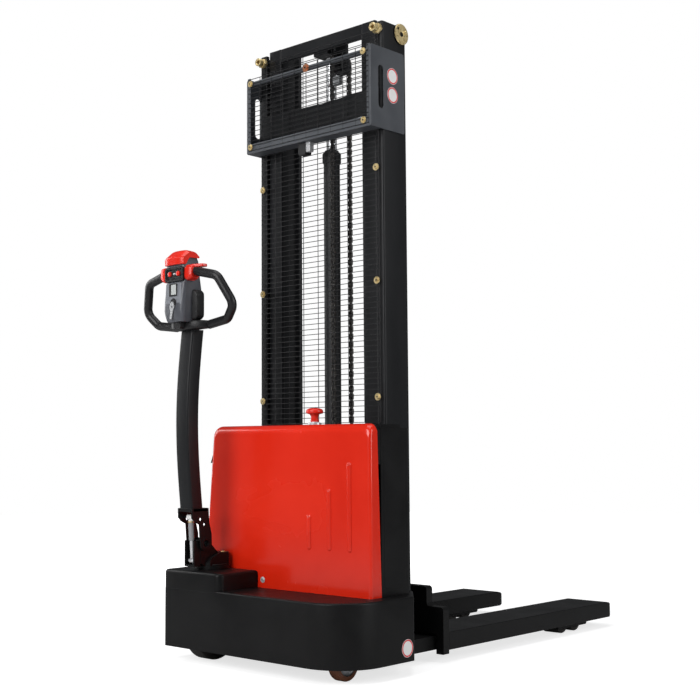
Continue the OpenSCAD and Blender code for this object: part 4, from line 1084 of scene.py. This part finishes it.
def buildRollerCaps(c):
    for side, name in ((-1, "Left"), (1, "Right")):
        aim = (side, 0, 0)
        centre = (side * c["x"], c["y"], c["z"])
        bm = bmesh.new()
        addRing(bm, [(8.5, 4.2), (c["radius"] - 0.8, 4.2), (c["radius"] - 0.8, 6.2),
                     (c["radius"] - 1.8, 7), (10, 7), (8.5, 6)], centre, aim, 48)
        hole = bmesh.new()
        addLathe(hole, [(5.2, -2), (5.2, 12)], (side * c["x"], c["y"] - 18, c["z"] + 16), aim, 20)
        finishPiece("rollerCap" + name, bm, yellowZinc, "chassis",
                    ("roller_caps",) if side < 0 else (), cut=hole, smoothAngle=30)
        bolt = bmesh.new()
        addLathe(bolt, [(5.8, 6.8), (5.8, 11.2), (5, 12), (0, 12)],
                 (side * c["x"], c["y"] + 17, c["z"] + 9), aim, 6)
        finishPiece("rollerCapBolt" + name, bolt, yellowZinc, "chassis")
        hub = bmesh.new()
        addRing(hub, [(8, 0), (c["radius"], 0), (c["radius"], 4.3), (8, 4.3)], centre, aim, 48)
        addLathe(hub, [(8.4, 0.5), (8.4, 5.4), (0, 5.4)], centre, aim, 24)
        finishPiece("rollerCapHub" + name, hub, blackPaint, "chassis")
        fitting = bmesh.new()
        rear = (side * 265, 1, 2055)
        addRing(fitting, [(7, 0), (18, 0), (18, 12), (16.5, 14), (7, 14)], rear, (0, -1, 0), 6)
        addRing(fitting, [(7, 13), (14, 13), (14, 31), (12.5, 32.5), (9.5, 32.5), (7, 30)], rear,
                (0, -1, 0), 28)
        finishPiece("mastHeadNut" + name, fitting, yellowZinc, "chassis")


def buildSwitch():
    bm = bmesh.new()
    addPrism(bm, roundedOutline([(-48, 1676), (-14, 1676), (-14, 1718), (-48, 1718)], [6, 6, 0, 0]), "y",
             -52, -22)
    finishPiece("limitSwitch", bm, darkPlastic, "chassis", ("limit_switch",), bevel=1.5)
    lever = bmesh.new()
    addPrism(lever, [(-14, 1684), (2, 1684), (4, 1690), (4, 1718), (-14, 1718)], "y", -50, -30)
    addLathe(lever, [(5, -30), (5, -24)], (-31, 0, 1690), (0, 1, 0), 20)
    finishPiece("switchBracket", lever, brightSteel, "chassis", bevel=0.8)
    block = bmesh.new()
    addBlock(block, (46, 20, 1915), (76, 36, 1945))
    finishPiece("rodClamp", block, greyPlastic, "inner_mast", bevel=1.2)


def addSticker(name, centre, radius, aim, body="chassis"):
    # a round plate left blank inside its coloured rim
    bm = bmesh.new()
    addLathe(bm, [(radius, 0), (radius, 0.35), (0, 0.35)], centre, aim, 48)
    finishPiece(name + "Base", bm, labelWhite, body)
    bm = bmesh.new()
    addRing(bm, [(radius * 0.8, 0.3), (radius * 0.96, 0.3), (radius * 0.96, 0.6), (radius * 0.8, 0.6)],
            centre, aim, 48)
    finishPiece(name + "Rim", bm, labelRed, body)


buildRollerCaps(caps)
buildSwitch()
addSticker("upperSign", (286, 46, 1901), 27, (1, 0, 0))
addSticker("lowerSign", (286, 46, 1838), 27, (1, 0, 0))
addSticker("chassisSign", (400.3, -49, 86), 27, (1, 0, 0))
print("fittings built")

# ---- carriage and forks

cadPiece("carriage_frame", "carriageFrame", mastPaintBlueLightTint, "fork_carriage", 1.4)
cadPiece("carriage_rollers", "carriageRollers", plainSteel, "fork_carriage", 1.2)

shank = {"back": 213, "front": 244, "half": 338.5, "upperHalf": 271.5, "low": 26, "step": 176, "high": 239,
         "notchIn": 194.5, "notchOut": 308.5, "notchTop": 87, "middleHalf": 182.5, "middleTop": 112,
         "corner": 11}


def buildShank(s):
    left = [(-s["half"], s["low"]), (-s["notchOut"], s["low"]), (-s["notchOut"], s["notchTop"]),
            (-s["notchIn"], s["notchTop"]), (-s["notchIn"], s["low"]), (-s["middleHalf"], s["low"]),
            (-s["middleHalf"], s["middleTop"] + 1)]
    right = [(-x, z) for x, z in reversed(left)]
    upper = [(s["half"], s["step"]), (s["upperHalf"], s["step"]), (s["upperHalf"], s["high"]),
             (-s["upperHalf"], s["high"]), (-s["upperHalf"], s["step"]), (-s["half"], s["step"])]
    c = s["corner"]
    radii = [3, 1, 2, 2, 1, 1, 4, 4, 1, 1, 2, 2, 1, 3, c, c, c, c, c, c]
    outline = roundedOutline(left + right + upper, radii, 5)
    bm = bmesh.new()
    addPrism(bm, outline, "y", s["back"], s["front"])
    heel = bmesh.new()
    addBlock(heel, (-340, s["front"] - 1, 20), (340, s["front"] + 1, 101))
    finishPiece("shankPlate", bm, blackPaint, "fork_carriage", ("shank_plate",), bevel=1.6,
                cut=heel)


buildShank(shank)
cadPiece("fork_left", "forkLeft", blackPaint, "fork_carriage", 2.2, 3)
cadPiece("fork_right", "forkRight", blackPaint, "fork_carriage", 2.2, 3)
print("carriage built")

# ---- wheels

wheels = {"loadRadius": 40, "loadHalf": 36, "loadX": 251.5, "rearY": 1011, "frontY": 1099,
          "driveX": -286, "driveY": -224, "driveZ": 95, "driveHalf": 29, "tread": 22,
          "casterX": 294, "casterY": -222, "casterRadius": 50, "casterHalf": 19}


def treadRing(outer, inner, half, edge):
    return [(inner, -half), (outer - edge, -half), (outer - edge * 0.3, -half + edge * 0.3),
            (outer, -half + edge), (outer, half - edge), (outer - edge * 0.3, half - edge * 0.3),
            (outer - edge, half), (inner, half)]


def buildWheels(w):
    for side, sideName, short in ((-1, "left", "l"), (1, "right", "r")):
        for place, y, mark in (("rear", w["rearY"], "r"), ("front", w["frontY"], "f")):
            body = "load_wheel_" + short + mark
            centre = (side * w["loadX"], y, w["loadRadius"])
            bm = bmesh.new()
            addRing(bm, treadRing(w["loadRadius"], 26, w["loadHalf"], 4), centre, (1, 0, 0), 56)
            finishPiece("tread_" + sideName + "_" + place, bm, darkTread, body,
                        ("load_wheel_" + sideName + "_" + place,))
            hub = bmesh.new()
            h = w["loadHalf"]
            addRing(hub, [(10.1, -h + 3), (14, -h + 1), (17, -h + 1), (18, -h + 4), (24, -h + 5),
                          (26.5, -h + 2), (26.5, h - 2), (24, h - 5), (18, h - 4), (17, h - 1),
                          (14, h - 1), (10.1, h - 3)],
                    centre, (1, 0, 0), 40)
            finishPiece("loadHub_" + sideName + "_" + place, hub, plainSteel, body)
    centre = (w["driveX"], w["driveY"], w["driveZ"])
    half, r = w["driveHalf"], w["driveZ"]
    bm = bmesh.new()
    addRing(bm, treadRing(r, r - w["tread"], half, 5), centre, (1, 0, 0), 72)
    finishPiece("driveTread", bm, darkTread, "drive_wheel", ("drive_wheel_tyre",))
    hub = bmesh.new()
    edge = r - w["tread"] + 0.4
    addRing(hub, [(15, -half + 4), (34, -half + 4), (38, -half + 10), (60, -half + 10), (64, -half + 4),
                  (edge, -half + 4), (edge, half - 4), (64, half - 4), (60, half - 10), (38, half - 10),
                  (34, half - 4), (15, half - 4)], centre, (1, 0, 0), 56)
    holes = bmesh.new()
    for k in range(5):
        a = 2 * math.pi * k / 5
        addLathe(holes, [(6, -40), (6, 40)], (centre[0], centre[1] + 49 * math.cos(a),
                                              centre[2] + 49 * math.sin(a)),
                 (1, 0, 0), 16)
    finishPiece("driveHub", hub, plainSteel, "drive_wheel", ("drive_wheel_hub",), cut=holes)
    centre = (w["casterX"], w["casterY"], w["casterRadius"])
    bm = bmesh.new()
    addRing(bm, treadRing(w["casterRadius"], 35, w["casterHalf"], 5), centre, (1, 0, 0), 56)
    finishPiece("casterTread", bm, amberTread, "stabiliser_wheel", ("caster_wheel",))
    hub = bmesh.new()
    h = w["casterHalf"]
    addRing(hub, [(8.1, -h), (15, -h), (17, -h + 5), (31, -h + 5), (35.3, -h + 2), (35.3, h - 2),
                  (31, h - 5), (17, h - 5), (15, h), (8.1, h)], centre, (1, 0, 0), 40)
    finishPiece("casterHub", hub, plainSteel, "stabiliser_wheel")


buildWheels(wheels)
cadPiece("caster_fork", "casterFork", plainSteel, "caster_swivel_fork", 1.0)
cadPiece("drive_unit", "driveUnit", darkSteel, "steering_head", 1.5)
print("wheels built")
for name, finish in (("battery_block", darkPlastic), ("pump_block", greyPlastic)):
    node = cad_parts[name]
    node.data.materials.clear()
    node.data.materials.append(finish)

# ---- steering head

steering = {"x": -286, "y": -224, "boltY": -193, "boltZ": 347, "boltApart": 22}


def buildCasting(s):
    x, y = s["x"], s["y"]
    cadPiece("pivot_casting", "pivotCasting", blackPaint, "steering_head", 1.6)
    collar = bmesh.new()
    addRing(collar, [(40, 306), (50, 306), (51.5, 307), (51.5, 309.5), (50, 311), (40, 311)], (x, y, 0),
            (0, 0, 1), 64)
    finishPiece("castingCollar", collar, blackPaint, "steering_head")
    addScrews("castingBolts", [(x + side * s["boltApart"], s["boltY"], s["boltZ"]) for side in (-1, 1)],
              (0, 0, 1), yellowZinc, "steering_head", 0.9)


buildCasting(steering)

# ---- tiller arm

arm = {"x": -286, "half": 30, "depth": 52, "rear": -341, "bow": 21, "low": 484, "foot": 496, "top": 1081,
       "corner": 8, "plate": 6, "pivotY": -281, "pivotZ": 381, "eye": 25, "bore": 11.5, "pin": 14}


def armRear(a, z):
    t = min(max((z - a["foot"]) / (a["top"] - a["foot"]), 0), 1)
    return a["rear"] - a["bow"] * math.sin(math.pi * t) + 2 * t


def buildArm(a):
    x, half = a["x"], a["half"]
    bm = bmesh.new()
    loops = []
    for k in range(31):
        z = a["low"] + (a["top"] - a["low"]) * k / 30
        rear = armRear(a, z)
        section = roundedOutline([(x - half, rear), (x + half, rear), (x + half, rear + a["depth"]),
                                  (x - half, rear + a["depth"])], a["corner"], 6)
        loops.append([(px, py, z) for px, py in section])
    addLoft(bm, loops)
    finishPiece("tillerArm", bm, mastPaintBlueLightTint, "tiller", ("tiller_arm",), smoothAngle=50)
    py, pz = a["pivotY"], a["pivotZ"]
    eye = arcPoints(py, pz, a["eye"], 0, -168, 26)
    outline = [(-271, 496), (-267, 447), (-257, 411)] + eye + [(-311, 443), (-331, 453), (-343, 465),
                                                               (-343, 496)]
    for side, name in ((-1, "Left"), (1, "Right")):
        ends = sorted((x + side * half, x + side * (half + a["plate"])))
        plate = bmesh.new()
        addPrism(plate, outline, "x", *ends)
        holes = bmesh.new()
        for hy, hz, r in ((-306, 460, 5), (-289, 443, 4.5), (py, pz, a["pin"] - 0.5)):
            addLathe(holes, [(r, ends[0] - 4), (r, ends[1] + 4)], (0, hy, hz), (1, 0, 0), 28)
        finishPiece("armFoot" + name, plate, blackPaint, "tiller", bevel=1.3, cut=holes)
        boss = bmesh.new()
        low, high = (ends[1] - 0.5, ends[1] + 1.6) if side > 0 else (ends[0] - 1.6, ends[0] + 0.5)
        addRing(boss, [(a["pin"] - 0.5, low), (a["pin"] + 5, low), (a["pin"] + 5, high - 0.5),
                       (a["pin"] + 4.4, high), (a["pin"] - 0.5, high)], (0, py, pz), (1, 0, 0), 48)
        finishPiece("armBoss" + name, boss, blackPaint, "tiller")
    foot = bmesh.new()
    addPrism(foot, roundedOutline([(x - half - 6, -343), (x + half + 6, -343), (x + half + 6, -271),
                                   (x - half - 6, -271)], 7, 5), "z", 484, 496)
    finishPiece("armFootPlate", foot, blackPaint, "tiller", bevel=1.8)
    pin = bmesh.new()
    reach = half + a["plate"]
    addRing(pin, [(a["bore"], -reach), (a["pin"] - 0.1, -reach), (a["pin"] - 0.1, reach),
                  (a["bore"], reach)],
            (x, py, pz), (1, 0, 0), 48)
    addLathe(pin, [(3.9, -half - 6.4), (3.9, half + 6.4)], (x, -317, 467), (1, 0, 0), 24)
    finishPiece("tillerPivot", pin, darkSteel, "tiller")


buildArm(arm)

# ---- tiller head

head = {"x": -286, "y": -349, "low": 1081, "half": 48, "keyZ": 1165, "keyX": 4}


def roundedSection(x0, x1, y0, y1, radius, z, steps=6):
    outline = roundedOutline([(x0, y0), (x1, y0), (x1, y1), (x0, y1)], radius, steps)
    return [(x, y, z) for x, y in outline]


def buildHead(h):
    x, y, z0 = h["x"], h["y"], h["low"]
    body = bmesh.new()
    stations = ((1104, 40, -43, 32, 10), (1111, 43, -46, 34, 12), (1126, 46, -50, 36, 13),
                (1141, 47, -53, 38, 14), (1180, 48, -50, 39, 14), (1215, 48, -45, 38, 13),
                (1240, 48, -40, 33, 12), (1251, 48, -40, 31, 12), (1287, 47, -44, 29, 12),
                (1306, 44, -36, 28, 14), (1322, 40, -26, 24, 14))
    addLoft(body, [roundedSection(x - half, x + half, y + rear, y + front, r, z)
                   for z, half, rear, front, r in stations])
    finishPiece("headHousing", body, castHousing, "tiller", ("tiller_head",),
                smoothAngle=60)
    # tapered key panel standing proud of the rear face
    panel = bmesh.new()
    outer = roundedOutline([(x - 32, 1120), (x + 32, 1120), (x + 42, 1160), (x + 39, 1233), (x - 39, 1233),
                            (x - 42, 1160)], [11, 11, 9, 6, 6, 9], 6)
    slope = ((0, -42), (1.8, -47), (4.2, -49))

    def panelDepth(z):
        return 2.5 * math.sin(math.pi * min(max((z - 1118) / 114, 0), 1))
    addLoft(panel, [[(px, y + depth - panelDepth(pz), pz) for px, pz in insetOutline(outer, inset)]
                    for inset, depth in slope])
    finishPiece("keyPanel", panel, panelGrey, "tiller", smoothAngle=28)
    window = bmesh.new()
    addPrism(window, roundedOutline([(x - 17, 1187), (x + 21, 1187), (x + 21, 1229), (x - 17, 1229)], 3,
                                    4), "y",
             y - 52.6, y - 47)
    finishPiece("displayFrame", window, darkPlastic, "tiller", bevel=0.6)
    glass = bmesh.new()
    addPrism(glass, roundedOutline([(x - 6, 1192), (x + 18, 1192), (x + 18, 1225), (x - 6, 1225)], 2, 4),
             "y", y - 53.1, y - 50)
    finishPiece("displayWindow", glass, displayGlass, "tiller", bevel=0.3)
    band = bmesh.new()
    outline = roundedOutline([(x - 46, 1236), (x + 46, 1236), (x + 46, 1284), (x - 46, 1284)], 9, 5)
    addLoft(band, [[(px, y + depth, pz) for px, pz in insetOutline(outline, inset)]
                   for inset, depth in ((0, -38), (0, -46), (1.5, -48), (7, -48), (9, -44.5))])
    finishPiece("buttonRecess", band, darkPlastic, "tiller")
    for side, name in ((-1, "Left"), (1, "Right")):
        button = bmesh.new()
        addLathe(button, [(8.5, 43), (8.5, 47), (7.4, 49.5), (4, 50.6), (0, 51)], (x + side * 21, y, 1262),
                 (0, -1, 0), 32)
        finishPiece("headButton" + name, button, redPlastic, "tiller")
    mark = bmesh.new()
    addPrism(mark, roundedOutline([(x - 6, 1259), (x + 6, 1259), (x + 6, 1265), (x - 6, 1265)], 2, 4), "y",
             y - 46, y - 43)
    finishPiece("headMark", mark, brightSteel, "tiller", bevel=0.4)


def buildCap(h):
    # the red cap: a curved roof over the head with a lip hanging to the rear
    x, y = h["x"], h["y"]
    bm = bmesh.new()
    outline = roundedOutline([(y - 52, 1291), (y - 54, 1316), (y - 24, 1343), (y + 14, 1341),
                              (y + 29, 1325), (y + 25, 1320), (y - 26, 1319), (y - 41, 1292)],
                             [3, 14, 26, 16, 3, 2, 9, 3], 8)
    loops = []
    halfWidth = 46
    for k in range(13):
        s = -1 + 2 * k / 12
        bulge = (abs(s)) ** 4
        loops.append([(x + s * halfWidth, py + (7 if py < y - 20 else -3) * bulge,
                       pz - 9 * bulge * max(pz - 1300, 0) / 43) for py, pz in outline])
    addLoft(bm, loops)
    finishPiece("headCap", bm, redPlastic, "tiller", ("head_cap",), bevel=2.2, segments=3)


def buildRockers(h):
    x, y = h["x"], h["y"]
    for side, name in ((-1, "Left"), (1, "Right")):
        bm = bmesh.new()
        # funnel shaped thumb paddle
        loops = []
        for t, low, high, back, front in ((0.0, 1240, 1284, -42, -4), (0.3, 1237, 1288, -44, 0),
                                          (0.7, 1240, 1288, -42, 2), (1.0, 1246, 1284, -38, 0)):
            px = x + side * (47 + 30 * t)
            section = roundedOutline([(y + back, low), (y + front, low), (y + front, high),
                                      (y + back, high)],
                                     [12, 12, 12, 12], 5)
            loops.append([(px, a, b) for a, b in section])
        addLoft(bm, loops)
        finishPiece("thumbPaddle" + name, bm, redPlastic, "tiller",
                    ("thumb_rockers",) if side < 0 else (), bevel=1.2)
        wing = bmesh.new()
        outline = roundedOutline([(x + side * 62, y - 30), (x + side * 104, y - 14),
                                  (x + side * 108, y + 8), (x + side * 62, y + 2)], [4, 6, 6, 4], 5)
        addPrism(wing, outline, "z", 1280, 1290)
        finishPiece("thumbWing" + name, wing, redPlastic, "tiller", bevel=2.2, segments=3)


def loopPath(h, side):
    # corner points in the plane of the loop, each bent to one radius
    corners = [(44, 102), (169, 72), (215, -28), (171, -74), (80, -86)]
    bend, steps, path = 34, 8, []
    for i, corner in enumerate(corners):
        here = Vector(corner)
        if i in (0, len(corners) - 1):
            path.append(here)
            continue
        before = (Vector(corners[i - 1]) - here).normalized()
        after = (Vector(corners[i + 1]) - here).normalized()
        half = before.angle(after) / 2
        middle = here + (before + after).normalized() * (bend / math.sin(half))
        start = here + before * (bend / math.tan(half)) - middle
        end = here + after * (bend / math.tan(half)) - middle
        a = math.atan2(start.y, start.x)
        sweep = (math.atan2(end.y, end.x) - a + math.pi) % (2 * math.pi) - math.pi
        path += [middle + Vector((math.cos(a + sweep * k / steps), math.sin(a + sweep * k / steps))) * bend
                 for k in range(steps + 1)]
    lean = math.radians(18)
    return [(h["x"] + side * p.x, h["y"] + 12 - p.y * math.sin(lean), h["low"] + 96 + p.y * math.cos(lean))
            for p in path]


def buildLoops(h):
    for side, name in ((-1, "left"), (1, "right")):
        path = loopPath(h, side)
        tube = bmesh.new()
        addTube(tube, path, 14.8, 24)
        finishPiece("handleLoop_" + name, tube, gripRubber, "tiller",
                    ("handle_loop_" + name,), smoothAngle=60)


def buildYoke(h):
    x, y, z0 = h["x"], h["y"], h["low"]
    bm = bmesh.new()
    loops = []
    for k in range(17):
        s = -1 + 2 * k / 16
        sag = 12 * (1 - s * s)
        low = z0 + 10 - sag - 8 * s * s
        high = z0 + 30 - 3 * abs(s) ** 3
        reach, rear = 34 + 18 * s * s, -14 + 38 * s ** 4
        section = roundedOutline([(y + rear, low), (y + reach, low), (y + reach, high), (y + rear, high)],
                                 9, 4)
        loops.append([(x + s * 86, a, b) for a, b in section])
    addLoft(bm, loops)
    finishPiece("headYoke", bm, darkPlastic, "tiller", smoothAngle=50)
    tab = bmesh.new()
    addPrism(tab, roundedOutline([(x - 17, z0 + 1), (x + 17, z0 + 1), (x + 20, z0 + 34), (x - 20, z0 + 34)],
                                 [6, 6, 3, 3], 5), "y", y - 33, y + 20)
    finishPiece("yokeTab", tab, darkPlastic, "tiller", bevel=1.6)
    for side, name in ((-1, "Left"), (1, "Right")):
        wing = bmesh.new()
        loops = []
        for t, low, high, front in ((0, 1111, 1211, 30), (0.45, 1112, 1209, 30), (0.8, 1117, 1203, 28),
                                    (1.0, 1124, 1194, 24)):
            px = x + side * (46 + 24 * t)
            section = roundedOutline([(y - 9.5 + 3 * t, low), (y + front, low), (y + front, high),
                                      (y - 9.5 + 3 * t, high)], 9, 5)
            loops.append([(px, a, b) for a, b in section])
        addLoft(wing, loops)
        finishPiece("headWing" + name, wing, darkPlastic, "tiller", smoothAngle=50)


def buildKey(h):
    x, y, z = h["x"] + h["keyX"], h["y"], h["keyZ"]
    lock = bmesh.new()
    addLathe(lock, [(15, 44), (15, 52), (13, 54), (8, 54), (7.5, 53), (0, 53)], (x, y, z), (0, -1, 0), 36)
    finishPiece("keyLock", lock, darkPlastic, "tiller", ("key_switch",))
    key = bmesh.new()
    addPrism(key, [(x - 1, z - 5), (x + 1, z - 5), (x + 1, z + 5), (x - 1, z + 5)], "y", y - 57.5, y - 50)
    finishPiece("keyBlade", key, brightSteel, "tiller")
    bow = bmesh.new()
    addPrism(bow, roundedOutline([(x - 12, z - 52), (x - 4, z - 54), (x + 4, z - 26), (x + 11, z - 14),
                                  (x + 5, z + 3), (x - 7, z + 3), (x - 13, z - 14), (x - 8, z - 27)],
                                 [2, 2, 4, 8, 6, 6, 8, 4], 4), "y",
             y - 57.7, y - 55.2)
    hole = bmesh.new()
    addLathe(hole, [(3, 50), (3, 62)], (x - 1, y, z - 13), (0, -1, 0), 20)
    finishPiece("keyBow", bow, brightSteel, "tiller", bevel=0.3, cut=hole)


buildHead(head)
buildCap(head)
buildRockers(head)
buildLoops(head)
buildYoke(head)
buildKey(head)
print("tiller built")

# ---- gas strut

strut = {"x": -286, "topY": -317, "topZ": 467, "footY": -309, "footZ": 325, "barrelLength": 76,
         "barrel": 9.5, "rod": 7}


def buildStrut(s):
    top = Vector((s["x"], s["topY"], s["topZ"]))
    foot = Vector((s["x"], s["footY"], s["footZ"]))
    down = foot - top
    full = down.length
    r, long = s["barrel"], s["barrelLength"]
    barrel = bmesh.new()
    bore = s["rod"] + 0.6
    addRing(barrel, [(bore, 18.2), (r, 18.2), (r, long - 1.5), (r - 1.5, long), (bore, long)], top, down,
            40)
    finishPiece("strutBarrel", barrel, greyPlastic, "strut_cylinder", ("strut_barrel",))
    eye = bmesh.new()
    addLathe(eye, [(9, -12), (9, 12)], top, (1, 0, 0), 32)
    addLathe(eye, [(7, 0), (7, 9), (r, 10), (r, 13)], top, down, 32)
    finishPiece("strutHead", eye, labelWhite, "strut_cylinder")
    ring = bmesh.new()
    addRing(ring, [(bore, 13), (r + 0.4, 13), (r + 0.4, 18), (bore, 18)], top, down, 40)
    finishPiece("strutRing", ring, yellowZinc, "strut_cylinder")
    rod = bmesh.new()
    addLathe(rod, [(s["rod"], long - 5), (s["rod"], full - 8)], top, down, 32)
    addLathe(rod, [(7.5, -10), (7.5, 10)], foot, (1, 0, 0), 32)
    addLathe(rod, [(3.95, -17), (3.95, 17)], foot, (1, 0, 0), 20)
    finishPiece("strutRod", rod, brightSteel, "strut_piston", ("strut_rod",))


buildStrut(strut)
print("strut built")
